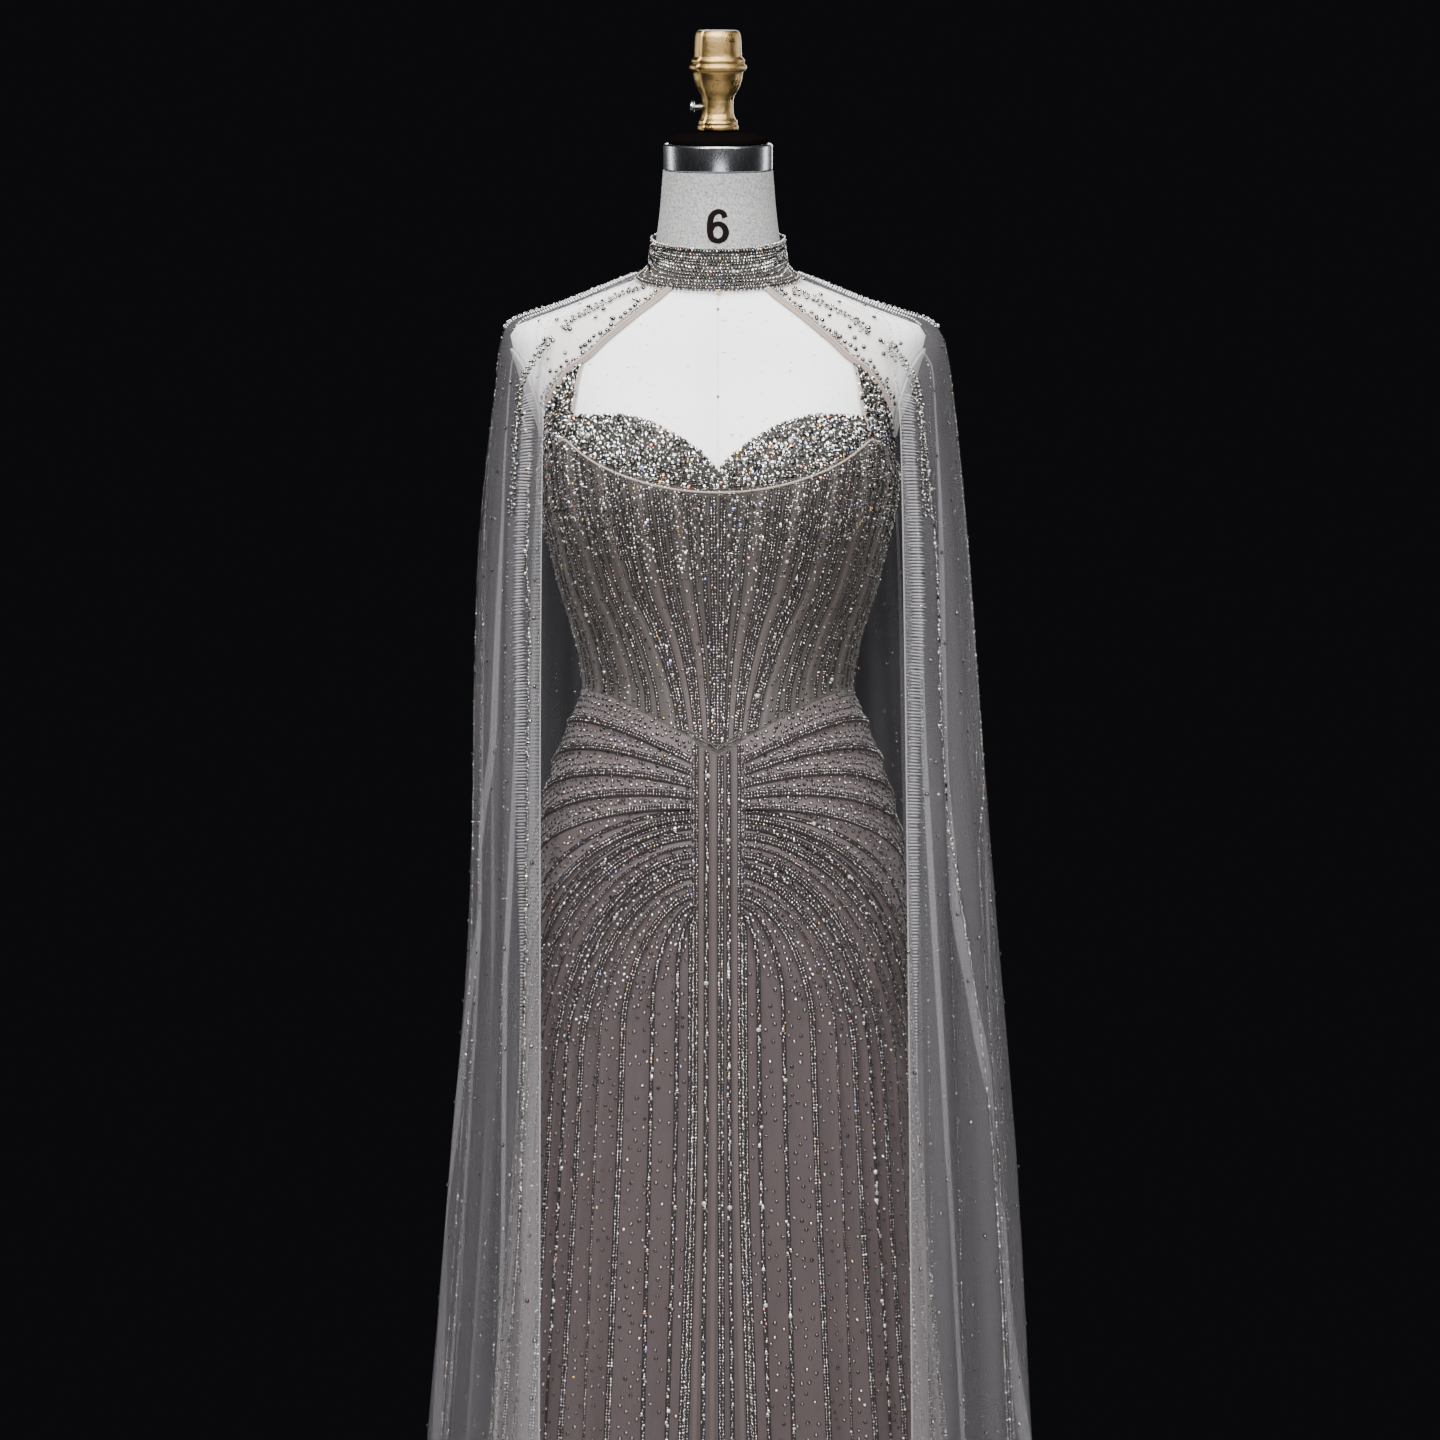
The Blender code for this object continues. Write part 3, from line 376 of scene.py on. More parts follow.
# %% [markdown]
# ## Tools for cloth
#
# A cloth is kept as a grid of points with the direction out of it at each one. The grid gives the
# mesh, the threads for the weave, the size that the piece was cut to and the place of all that is
# sewn on, so beads stay on their cloth. A simulation could drape it too, but would not put each
# tuck where the dressmaker did.

# %% Grids of cloth


def facing(point, rough_out):
    """Directions straight out of a grid of points, with its own folds counted in."""
    out = np.cross(np.gradient(point, axis=1), np.gradient(point, axis=0))
    size = np.linalg.norm(out, axis=-1, keepdims=True)
    out = np.where(size > 1e-12, out / np.maximum(size, 1e-12), rough_out)
    return out * np.where((out * rough_out).sum(axis=-1, keepdims=True) < 0, -1, 1)


def lengths(point, axis):
    """Distances walked along a grid's rows or columns, from the first point."""
    steps = np.linalg.norm(np.diff(point, axis=axis), axis=-1)
    return np.concatenate([np.zeros_like(np.take(steps, [0], axis)), np.cumsum(steps, axis)], axis)


def cloth_grid(surface, turn, height, lift, side=1):
    """A cloth on a surface: its points, the directions out, and its own turns and heights."""
    point, out = frame_on(surface, mirrored(turn, side), height)
    point = point + out * (lift * np.ones_like(height))[..., None]
    return {"point": point, "out": facing(point, out), "turn": turn, "height": height}


def patch(start, end, low, high, columns, rows, surface):
    """Turns and heights between two side edges and two level edges."""
    along, up = np.meshgrid(np.linspace(0, 1, columns + 1), np.linspace(0, 1, rows + 1))
    height = (low(np.full_like(up, FRONT / 2)) + high(np.full_like(up, FRONT / 2))) / 2
    for _ in range(12):
        turn = start(height) + (end(height) - start(height)) * along
        height = low(turn) + SEAM_GAP / 2 + (high(turn) - low(turn) - SEAM_GAP) * up
    inset_start = turned_on(surface, start(height), height, SEAM_GAP / 2)
    inset_end = turned_on(surface, end(height), height, -SEAM_GAP / 2)
    return inset_start + (inset_end - inset_start) * along, height


print("lengths:", lengths(np.array([[[0], [0.2], [0.5]]]), 1)[0])

# %% [markdown]
# Trimmings are placed by shares across and up a cloth, by height and turn, or as they look from
# the front, which is how a maker pins a row, standing back to judge it.

# %% Places on a cloth


def at(cloth, across, up):
    """Points on a cloth at shares across and up it, and the directions out of it there."""
    rows, columns = cloth["height"].shape
    r = np.clip(up, 0, 1) * (rows - 1)
    c = np.clip(across, 0, 1) * (columns - 1)
    row, column = np.minimum(r.astype(int), rows - 2), np.minimum(c.astype(int), columns - 2)
    r, c = (r - row)[:, None], (c - column)[:, None]
    mix = [(1 - r) * ((1 - c) * grid[row, column] + c * grid[row, column + 1])
           + r * ((1 - c) * grid[row + 1, column] + c * grid[row + 1, column + 1])
           for grid in (cloth["point"], cloth["out"])]
    return mix[0], mix[1] / np.linalg.norm(mix[1], axis=-1, keepdims=True)


def find(cloth, places):
    """Shares across and up a cloth of places given as (height, turn in degrees)."""
    rows, columns = cloth["height"].shape
    shares_up, shares_across = np.linspace(0, 1, rows), np.linspace(0, 1, columns)
    found = []
    for height, turn in places:
        across = 0.5
        for _ in range(12):
            column = min(int(round(across * (columns - 1))), columns - 1)
            up = np.interp(height, cloth["height"][:, column], shares_up)
            row = min(int(round(up * (rows - 1))), rows - 1)
            across = np.interp(math.radians(turn), cloth["turn"][row], shares_across)
        found.append((across, up))
    return np.array(found).T


def seen(cloth, places):
    """Shares across and up a cloth of places given as they look from the front, x and z in metres."""
    point = cloth["point"]
    nearer = VIEW_DISTANCE / (VIEW_DISTANCE + point[..., 1])
    x, z = point[..., 0] * nearer, VIEW_HEIGHT + (point[..., 2] - VIEW_HEIGHT) * nearer
    rows, columns = x.shape
    found = []
    for across, up in places:
        gap = np.hypot(x - across, z - up) + 9 * (point[..., 1] > 0.05)
        row, column = np.unravel_index(gap.argmin(), gap.shape)
        found.append((column / (columns - 1), row / (rows - 1)))
    return np.array(found).T


def path_on(cloth, across, up, count=160):
    """A smooth path on a cloth through a few shares across and up it."""
    steps = np.linspace(0, 1, len(across))
    ways = row_at(np.column_stack([steps, across, up]), np.linspace(0, 1, count))
    return at(cloth, ways[:, 0], ways[:, 1])


# %% [markdown]
# A material is a small tree of nodes. Colours are written as hex codes, as paint programs show
# them, and one function turns them into the linear light that Cycles reckons with.

# %% Colours and nodes


def srgb(code):
    """A hex sRGB colour as linear light."""
    parts = [int(code[i:i + 2], 16) / 255 for i in (1, 3, 5)]
    return (*[c / 12.92 if c <= 0.04045 else ((c + 0.055) / 1.055) ** 2.4 for c in parts], 1)


def add(tree, kind, settings=None, links=None):
    """A node with its settings, by property or input name, and its incoming links."""
    made = tree.nodes.new("ShaderNode" + kind)
    for key, value in (settings or {}).items():
        if isinstance(key, str) and hasattr(made, key):
            setattr(made, key, value)
        else:
            made.inputs[key].default_value = value
    for key, socket in (links or {}).items():
        tree.links.new(socket, made.inputs[key])
    return made


def finish(name, colour, roughness, metallic=0, **sockets):
    """A material with its plain values on the shader's own sockets."""
    made = bpy.data.materials.new(name)
    made.use_nodes = True
    shader = made.node_tree.nodes["Principled BSDF"]
    shader.inputs["Base Color"].default_value = srgb(colour)
    shader.inputs["Roughness"].default_value = roughness
    shader.inputs["Metallic"].default_value = metallic
    for key, value in sockets.items():
        shader.inputs[key.replace("_", " ")].default_value = value
    return made, made.node_tree, shader


def two_tones(tree, share, first, second):
    """A colour that goes from one hex tone to another as the share goes from 0 to 1."""
    return add(tree, "Mix", {"data_type": "RGBA", 6: srgb(first), 7: srgb(second)},
               {0: share}).outputs[2]


def relief(tree, shader, height, depth, strength):
    """Turns a height pattern into bumps of a depth in metres."""
    bump = add(tree, "Bump", {"Strength": strength, "Distance": depth}, {"Height": height})
    tree.links.new(bump.outputs[0], shader.inputs["Normal"])


print("sRGB mid grey as light:", round(srgb("#808080")[0], 3))

# %% [markdown]
# Each piece is made straight from its points and faces, which lie where they should at once. Every
# piece rides on the one body, as nothing here moves.

# %% Meshes


def new_object(name, vertices, faces, finishes, thread=None):
    """An object from points and faces, with its thread directions as a UV map in metres."""
    mesh = bpy.data.meshes.new(name)
    mesh.from_pydata(np.asarray(vertices).tolist(), [], faces)
    for made in finishes:
        mesh.materials.append(made)
    mesh.polygons.foreach_set("use_smooth", [True] * len(mesh.polygons))
    if thread is not None:
        corner = np.empty(len(mesh.loops), dtype=np.int32)
        mesh.loops.foreach_get("vertex_index", corner)
        mesh.uv_layers.new(name="thread").data.foreach_set("uv", thread[corner].ravel())
    mesh.update()
    created = bpy.data.objects.new(name, mesh)
    bpy.context.scene.collection.objects.link(created)
    return created


def settle(piece, slot, *nodes):
    """A piece rides on the one body and may stand for solids, which are hidden; the slot is not used.
    """
    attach(piece, "root")
    if nodes:
        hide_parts(*nodes)
    return piece


def grid_faces(rows, columns, closed=False):
    """The four-sided faces of a grid, closed round its columns or not."""
    span = columns if closed else columns - 1
    return [(r * columns + c, r * columns + (c + 1) % columns,
             (r + 1) * columns + (c + 1) % columns, (r + 1) * columns + c)
            for r in range(rows - 1) for c in range(span)]


def thread_map(point):
    """Threads run across and up the cloth: distances from its middle column and lowest row."""
    across, up = lengths(point, 1), lengths(point, 0)
    return np.stack([across - across[:, [across.shape[1] // 2]], up], axis=-1).reshape(-1, 2)


print("faces of a 3 by 4 grid:", len(grid_faces(3, 4)))

# %% [markdown]
# ## Tools for beads
#
# Beading is done by hand in two ways. Seed beads are threaded and couched down in rows; cut stones
# are set one by one, dense at the bust and thinner below. A strand here is a path with even places,
# and set stones are places scattered over a cloth and kept apart. All the beads of a piece are one
# mesh, each of a few faces, because tens of thousands show.

# %% Strands
random = np.random.default_rng(6)
SEED_RADIUS = 0.00132       # a 2.6 mm seed bead
SEED_PITCH = 0.0027
STONE_RADIUS = 0.0019       # a 3.8 mm cut stone


def strand(point, out, pitch=SEED_PITCH, aside=0, wander=0.0002):
    """Bead places along a path, evenly spaced, as rows of (place, direction out)."""
    length = lengths(point[:, None], 0)[:, 0]
    sideways = np.cross(out, np.gradient(point, axis=0))
    sideways /= np.linalg.norm(sideways, axis=-1, keepdims=True) + 1e-12
    line = point + sideways * aside
    count = max(int(length[-1] / pitch), 1)
    even = (np.arange(count) + 0.5) * length[-1] / count
    even = even + random.normal(0, 0.06 * pitch, count)
    spot = np.stack([np.interp(even, length, line[:, k]) for k in range(3)], axis=-1)
    normal = np.stack([np.interp(even, length, out[:, k]) for k in range(3)], axis=-1)
    swing = np.stack([np.interp(even, length, sideways[:, k]) for k in range(3)], axis=-1)
    spot += swing * random.normal(0, wander, count)[:, None]
    return np.hstack([spot, normal])


def twin(point, out, gap=0.0027, **settings):
    """Two strands side by side."""
    return np.vstack([strand(point, out, aside=gap / 2, **settings),
                      strand(point, out, aside=-gap / 2, **settings)])


print("seed beads to the metre:", round(1 / SEED_PITCH))

# %% Scattered stones
CROWD = 2.4                 # places tried for each one that the spacing has room for


def scatter(cloth, spacing, weight=None, edge=0):
    """Places spread at random over a cloth, thinned to a spacing and to a weight from 0 to 1."""
    point = cloth["point"]
    diagonals = np.cross(point[1:, 1:] - point[:-1, :-1], point[:-1, 1:] - point[1:, :-1])
    areas = np.linalg.norm(diagonals, axis=-1) / 2
    count = int(areas.sum() / spacing ** 2 * CROWD)
    cell = random.choice(areas.size, size=count, p=(areas / areas.sum()).ravel())
    row, column = np.unravel_index(cell, areas.shape)
    up = (row + random.random(count)) / areas.shape[0]
    across = (column + random.random(count)) / areas.shape[1]
    kept = (across > edge) & (across < 1 - edge) & (up > edge) & (up < 1 - edge)
    if weight is not None:
        kept &= random.random(count) < weight(across, up)
    spot, normal = at(cloth, across[kept], up[kept])
    return apart(np.hstack([spot, normal]), spacing * 0.78)


def apart(rows, gap, others=None):
    """Drops each place that lies closer than a gap to one already kept."""
    rows = np.asarray(rows)
    tree = KDTree(len(rows))
    for number, row in enumerate(rows):
        tree.insert(row[:3], number)
    tree.balance()
    blocked = np.zeros(len(rows), dtype=bool)
    if others is not None and len(others):
        near = KDTree(len(others))
        for number, row in enumerate(others):
            near.insert(row[:3], number)
        near.balance()
        blocked = np.array([near.find(row[:3])[2] < gap for row in rows])
    for number, row in enumerate(rows):
        if not blocked[number]:
            for _, other, _ in tree.find_range(row[:3], gap):
                if other > number:
                    blocked[other] = True
    return rows[~blocked]


print("kept of 4 places:", len(apart(np.outer(range(4), [1, 0, 0]), 1.5)))

# %% [markdown]
# A seed bead is a low dome, since its lower half is never seen. A cut stone is a table and six
# sides. A set stone has a collar round it, as the real ones sit in small cups; the collar is painted
# near black as painted shade round each stone. Round ones get the normals of a ball, which makes six
# sides shade like a smooth bead.

# %% Shapes of beads


def ring(sides, radius, height, shift=0):
    """The corners of a level ring."""
    angle = (np.arange(sides) + shift) * 2 * math.pi / sides
    return np.column_stack([radius * np.cos(angle), radius * np.sin(angle),
                            np.full(sides, height)])


def cut_form(levels, sides, table):
    """The faces of a bead from its rings, with a flat table or a tip on top."""
    faces = []
    for level in range(levels - 1):
        for k in range(sides):
            n = (k + 1) % sides
            faces.append((level * sides + k, level * sides + n, (level + 1) * sides + n,
                          (level + 1) * sides + k))
    top = (levels - 1) * sides
    if table:
        faces.append(tuple(range(top, top + sides)))
    else:
        faces += [(top + k, top + (k + 1) % sides, top + sides) for k in range(sides)]
    return faces


def ball_normals(corners, middle):
    """Directions straight out of a ball, so that a bead of few faces shades as a round one."""
    way = corners - [0, 0, middle]
    return way / np.linalg.norm(way, axis=1, keepdims=True)


TIP = np.array([[0, 0, 1]])
BEAD_FORMS = {  # corners in radii, faces, height of the ball's middle or faceted
    "seed": (np.vstack([ring(6, 1, 0), 0.9 * TIP]), cut_form(1, 6, False), -0.12),
    "dome": (np.vstack([ring(8, 1, 0), 0.8 * TIP]), cut_form(1, 8, False), -0.1),
    "set": (np.vstack([ring(6, 1, 0), ring(6, 0.58, 0.42), 0.66 * TIP]), cut_form(2, 6, False),
            -0.15),
    "stone": (np.vstack([ring(6, 1, 0.05), ring(6, 0.52, 0.62)]), cut_form(2, 6, True), None),
    "round": (np.vstack([ring(6, 0.8, 0.1), ring(6, 1, 0.75, 0.5), ring(6, 0.6, 1.4), 1.65 * TIP]),
              cut_form(3, 6, False), 0.8),
}
for form, (corners, faces, _) in BEAD_FORMS.items():
    print(f"{form}: {len(corners)} corners, {len(faces)} faces")

# %% Many beads as one mesh


def set_beads(name, groups, finishes, shares, slot="crystal", lean=7):
    """One mesh of beads, from groups of (form, places, radius, spread of radius).

    A set stone sits in a little cup, painted dark as painted shade round the stone, which takes the
    last of the finishes.
    """
    vertices, normals, faces, soft, choice = [], [], [], [], []
    base = 0
    for form, rows, radius, spread in groups:
        corners, form_faces, middle = BEAD_FORMS[form]
        bulge = 0 * corners if middle is None else ball_normals(corners, middle)
        rows = np.asarray(rows)
        count = len(rows)
        out = rows[:, 3:] + random.normal(0, math.tan(math.radians(lean)), (count, 3)) * 0.6
        out /= np.linalg.norm(out, axis=1, keepdims=True)
        level = np.cross(out, [0.13, 0.21, 0.97])
        level /= np.linalg.norm(level, axis=1, keepdims=True)
        other = np.cross(out, level)
        spin = random.random(count) * 2 * math.pi
        first = level * np.cos(spin)[:, None] + other * np.sin(spin)[:, None]
        second = np.cross(out, first)
        size = radius * (1 + spread * random.uniform(-1, 1, count))
        axes = np.stack([first, second, out], axis=1)
        vertices.append((rows[:, None, :3] + (corners @ axes) * size[:, None, None]).reshape(-1, 3))
        normals.append((bulge @ axes).reshape(-1, 3))
        offsets = base + np.arange(count) * len(corners)
        picked = random.choice(len(finishes), size=count, p=shares)
        cup = 6 if form == "set" else 0         # its lowest faces
        for offset, pick in zip(offsets.tolist(), picked.tolist()):
            faces.extend([tuple(offset + k for k in face) for face in form_faces])
            choice.extend([len(finishes) - 1] * cup + [pick] * (len(form_faces) - cup))
        soft.extend([middle is not None] * (count * len(form_faces)))
        base += count * len(corners)
    piece = new_object(name, np.vstack(vertices), faces, finishes)
    piece.data.polygons.foreach_set("use_smooth", soft)
    piece.data.polygons.foreach_set("material_index", choice)
    piece.data.update()
    piece.data.normals_split_custom_set_from_vertices(np.vstack(normals).tolist())
    triangles = sum(len(face) - 2 for face in faces)
    print(f"{name}: {sum(len(g[1]) for g in groups)} beads, {triangles} triangles")
    return settle(piece, slot)


# %% [markdown]
# ## Camera, floor and light
#
# The gown is seen straight from the front, at waist height, from far enough that nothing looks
# swollen. The floor is a plain pale sheet. Glass only looks like glass with something bright and
# something dark to mirror, so light comes from large soft boxes in a dim room, not from all round.

# %% Camera
camera_data = bpy.data.cameras.new("camera")
camera_data.sensor_width = 36
camera_data.lens = 91.67
camera = bpy.data.objects.new("camera", camera_data)
camera.location = (VIEW_ASIDE, -VIEW_DISTANCE, VIEW_HEIGHT)
camera.rotation_euler = (math.pi / 2, 0, 0)
bpy.context.scene.collection.objects.link(camera)
bpy.context.scene.camera = camera
print("the view is", round(VIEW_DISTANCE * 36 / camera_data.lens, 2), "m wide")

# %% Floor
FLOOR_RADIUS, FLOOR_PATCH = 1.45, 0.111         # the paint is uneven in patches of 111 mm
floor_finish, tree, shader = finish("pale_painted_floor", "#D9D6D1", 0.6)
grain = add(tree, "TexNoise", {"Scale": 1 / FLOOR_PATCH, "Detail": 4})
tree.links.new(two_tones(tree, grain.outputs[0], "#D6D3CE", "#DCD9D5"), shader.inputs["Base Color"])
disc = ring(96, FLOOR_RADIUS, 0)
floor = new_object("studio_floor", disc, [tuple(range(96))], [floor_finish])
print("floor of radius", FLOOR_RADIUS)

# %% Light
LIGHTS = [  # name, place, height it points at, width, height, watts
    ("key_box", (-1.2, -2.5, 3), 1.2, 0.7, 0.9, 150),
    ("fill_box", (1.5, -2.4, 2.6), 1.1, 0.6, 0.9, 67),
    ("front_box", (0.1, -3.2, 2.9), 1, 0.9, 0.4, 92),
    ("low_box", (0.3, -3.2, 0.25), 0.75, 1, 0.25, 13),
    ("top_box", (0, -0.7, 3.3), 1.2, 1, 0.8, 52),
    ("left_edge", (-1.9, 1, 1.9), 1.1, 0.3, 1.4, 14),
    ("right_edge", (1.9, 1.1, 1.8), 1, 0.3, 1.4, 14),
    ("back_box", (0.4, 3, 2.3), 1, 1.2, 1, 27),
]
for name, place, aim, width, height, watts in LIGHTS:
    box = bpy.data.lights.new(name, "AREA")
    box.shape = "RECTANGLE"
    box.size, box.size_y, box.energy = width, height, watts
    lamp = bpy.data.objects.new(name, box)
    lamp.location = place
    away = np.array(place) - [0, 0, aim]
    lamp.rotation_euler = (math.acos(away[2] / np.linalg.norm(away)), 0,
                           math.atan2(away[1], away[0]) + math.pi / 2)
    bpy.context.scene.collection.objects.link(lamp)
room = bpy.data.worlds.new("dim_room")
bpy.context.scene.world = room
room.use_nodes = True
room.node_tree.nodes["Background"].inputs["Color"].default_value = srgb("#101012")
print("lights:", len(LIGHTS))

# %% [markdown]
# ## Finishes
#
# The gown is matt satin under a layer of fine net, which greys it and breaks up its shine. One flat
# grey would look like felt, so dark satin, lighter patches and pale net threads are mixed. Satin
# threads are 0.3 mm and net holes 1 mm, too fine to show, so they are drawn four and two times too
# coarse. Other patterns are given by the size in millimetres of one of their grains.

# %% Satin under net
NET_CELL = 0.0022
THREAD = 0.0012             # of satin
WAVES = math.pi / 10        # a wave texture of scale 1 has a wave this long


def each(millimetres):
    """A pattern's scale, from the size of one of its grains or patches."""
    return 1000 / millimetres


def net_pattern(tree, cell):
    """Lines of a hexagonal net on the thread map, 1 on the threads and 0 in the holes."""
    threads = add(tree, "TexCoord").outputs["UV"]
    cells = add(tree, "TexVoronoi", {"feature": "DISTANCE_TO_EDGE", "Scale": 1 / cell,
                                     "Randomness": 0.35}, {"Vector": threads})
    return add(tree, "MapRange", {1: 0, 2: 0.16, 3: 1, 4: 0}, {0: cells.outputs[0]}).outputs[0]


def satin_under_net(name, dark, light, pale, painted_light_up_hip=0):
    """Satin with a net laid over it; the net's share grows up the hip, partly net pulled tight there
    and partly painted light from above.
    """
    made, tree, shader = finish(name, light, 0.5, Sheen_Weight=0.12, Sheen_Roughness=0.4,
                                Specular_IOR_Level=0.18)
    threads = add(tree, "TexCoord").outputs["UV"]
    patches = add(tree, "TexNoise", {"Scale": each(71.4), "Detail": 5, "Roughness": 0.6},
                  {"Vector": threads})
    ground = two_tones(tree, patches.outputs[0], dark, light)
    net = net_pattern(tree, NET_CELL)
    place = add(tree, "TexCoord").outputs["Object"]
    level = add(tree, "SeparateXYZ", None, {"Vector": place}).outputs["Z"]
    # Painted light: the net's share grows from 0.78 m to 0.95 m up, so the skirt is paler higher up.
    painted_light_share = add(tree, "MapRange", {1: 0.78, 2: 0.95, 3: 0, 4: painted_light_up_hip}, {0: level}).outputs[0]
    share = add(tree, "Math", {"operation": "MULTIPLY_ADD", 1: 0.35}, {0: net, 2: painted_light_share}).outputs[0]
    colour = add(tree, "Mix", {"data_type": "RGBA", 7: srgb(pale)}, {0: share, 6: ground})
    tree.links.new(colour.outputs[2], shader.inputs["Base Color"])
    rough = add(tree, "MapRange", {1: 0.3, 2: 0.7, 3: 0.42, 4: 0.62}, {0: patches.outputs[0]})
    tree.links.new(rough.outputs[0], shader.inputs["Roughness"])
    weave = add(tree, "TexWave", {"Scale": WAVES / THREAD, "Distortion": 0.6, "Detail": 1},
                {"Vector": threads})
    both = add(tree, "Math", {"operation": "ADD"}, {0: net, 1: weave.outputs[1]}).outputs[0]
    relief(tree, shader, both, 0.00012, 0.7)
    return made


# The skirt is a warm taupe, painted paler from 0.78 m up over the hip: partly net pulled tight there
# and partly painted light from above. Its centre strip is painted darker, as painted shade for a flat
# strip.
skirt_satin = satin_under_net("taupe_satin_painted_paler_up_hip", "#3B3334", "#453C3D", "#5E5455", 0.75)
# Painted shade: the strip's satin is darker because it lies flat and catches less light.
centre_strip_with_painted_shade = satin_under_net("centre_strip_painted_shade_under_net", "#383132", "#41393A", "#524A4B")
# The bodice is greyer. What shows between packed stones is a dark satin painted nearly black, as
# painted shade between the stones.
bodice_satin = satin_under_net("grey_taupe_satin_under_net", "#35322F", "#403C39", "#575350")
packed_satin_painted_shade = satin_under_net("dark_satin_painted_shade_under_beads", "#2A2826", "#34312E", "#4C4945")
# Bindings are cut on the bias, so they turn a corner without a crease. Their satin is pale, partly its
# own tone and partly a painted highlight for the line of light they catch.
pale_bias_with_painted_highlight = satin_under_net("bias_cut_satin_painted_highlight", "#94857D", "#A9998F", "#BAAEA5")
channel_satin = satin_under_net("channel_satin", "#433B3A", "#4E4644", "#5D5553")
print("a satin has", len(skirt_satin.node_tree.nodes), "nodes")

# %% [markdown]
# The cape is one layer of soft nylon net: mostly holes, so a thin veil of light grey. Cutting each
# hole would take millions of faces, so a low alpha stands for the share of thread. Gathered, doubled
# or rolled net has more thread in the way, so its alpha is higher.

# %% Nets
VEIL_CELL = 0.0024          # drawn two times too coarse
RIB = 0.0032                # the fine gathers across a strip of net


def veil(name, dark, colour, light, alpha):
    """Net that is seen through, with ribs where the mesh says that it is gathered."""
    made, tree, shader = finish(name, colour, 0.65, Alpha=alpha, Sheen_Weight=0.15,
                                Sheen_Roughness=0.35, Specular_IOR_Level=0.3)
    threads = add(tree, "TexCoord").outputs["UV"]
    clouds = add(tree, "TexNoise", {"Scale": each(111), "Detail": 5}, {"Vector": threads})
    plain = two_tones(tree, clouds.outputs[0], colour, light)
    ribs = add(tree, "TexWave", {"bands_direction": "Y", "Scale": WAVES / RIB, "Distortion": 1.2,
                                 "Detail": 1}, {"Vector": threads})
    gathered = add(tree, "Attribute", {"attribute_name": "gathered"}).outputs["Fac"]
    ribbed = two_tones(tree, ribs.outputs[1], dark, "#FFFFFF")
    colours = add(tree, "Mix", {"data_type": "RGBA"}, {0: gathered, 6: plain, 7: ribbed})
    tree.links.new(colours.outputs[2], shader.inputs["Base Color"])
    relief(tree, shader, net_pattern(tree, VEIL_CELL), 0.0001, 0.5)
    return made


cape_net = veil("soft_nylon_net", "#77737A", "#C2BEC4", "#D4D0D6", 0.07)
cape_gathers = veil("gathered_net", "#77737A", "#C2BEC4", "#D4D0D6", 0.36)
trim_net = veil("doubled_net_trim", "#77737A", "#F2F0F2", "#FDFCFD", 0.95)
net_hem = veil("rolled_net_hem", "#8C888E", "#C2BEC4", "#D4D0D6", 0.28)
yoke_net = veil("ivory_nylon_net", "#A9A094", "#C4BAAE", "#D2C9BD", 0.3)
print("thinnest net:", cape_net.name)

# %% [markdown]
# Foiled cut stones mirror like metal, silver-lined seed beads are a darker mirror, and a few stones
# carry a coating that throws back rose, amber or blue. Each is a very smooth plain mirror, and its
# facets do the sparkling. The blackened cups and the dark tape under the rows are painted shade: dark
# rims that make the glass look bright.

# %% Glass, and the cups and tape of painted shade
clear_stone = finish("foiled_cut_glass", "#E2E0DE", 0.08, 1)[0]
grey_stone = finish("black_diamond_glass", "#8A8785", 0.1, 1)[0]
smoke_stone = finish("smoke_cut_glass", "#625F5C", 0.1, 1)[0]
rose_stone = finish("rose_coated_glass", "#E0A08C", 0.08, 1)[0]
blue_stone = finish("blue_coated_glass", "#9AA6D8", 0.08, 1)[0]
amber_stone = finish("amber_coated_glass", "#E8C07A", 0.08, 1)[0]
silver_seed = finish("silver_lined_seed_beads", "#9C9997", 0.13, 1)[0]
smoke_seed = finish("smoke_seed_beads", "#625F5D", 0.1, 1)[0]
pearl_seed = finish("glass_pearls", "#B9B1AC", 0.22, 0.35, Coat_Weight=0.6, Coat_Roughness=0.1)[0]
# The cups are painted near black, as painted shade round each set stone.
dark_setting_of_painted_shade = finish("blackened_setting_painted_shade", "#1C1A1A", 0.45, Specular_IOR_Level=0.3)[0]
# A dark tape under each row: painted shade beside the beads.
tape_of_painted_shade = finish("dark_tape_painted_shade", "#2A2526", 0.8, Specular_IOR_Level=0.1)[0]
STONES = [clear_stone, grey_stone, smoke_stone, rose_stone, amber_stone, blue_stone, dark_setting_of_painted_shade]
SEEDS = [silver_seed, smoke_seed, pearl_seed]
MIXED = SEEDS + STONES
# Shares of each kind. Quiet ones stand alone low on the skirt, deep ones give the bodice contrast.
STONE_SHARES = [0.27, 0.57, 0.14, 0.007, 0.007, 0.006, 0]
QUIET_SHARES = [0.06, 0.6, 0.32, 0.007, 0.007, 0.006, 0]
MIXED_SHARES = [0.36, 0.08, 0.03, 0.13, 0.3, 0.08, 0.007, 0.007, 0.006, 0]
BRIGHT_SHARES = [0.1, 0.1, 0.01, 0.44, 0.06, 0.25, 0.014, 0.014, 0.012, 0]
DEEP_SHARES = [0.26, 0.22, 0.02, 0.1, 0.26, 0.12, 0.007, 0.007, 0.006, 0]
print("kinds of bead:", len(MIXED) - 1)

# %% [markdown]
# Bleached linen is bright, dull and flecked with slubs, and the form's neck is a speckled grey.
# Seams are too fine to model, so a line is drawn where the mesh says that one is near. Linen
# threads are 0.5 mm, drawn about three times too coarse.

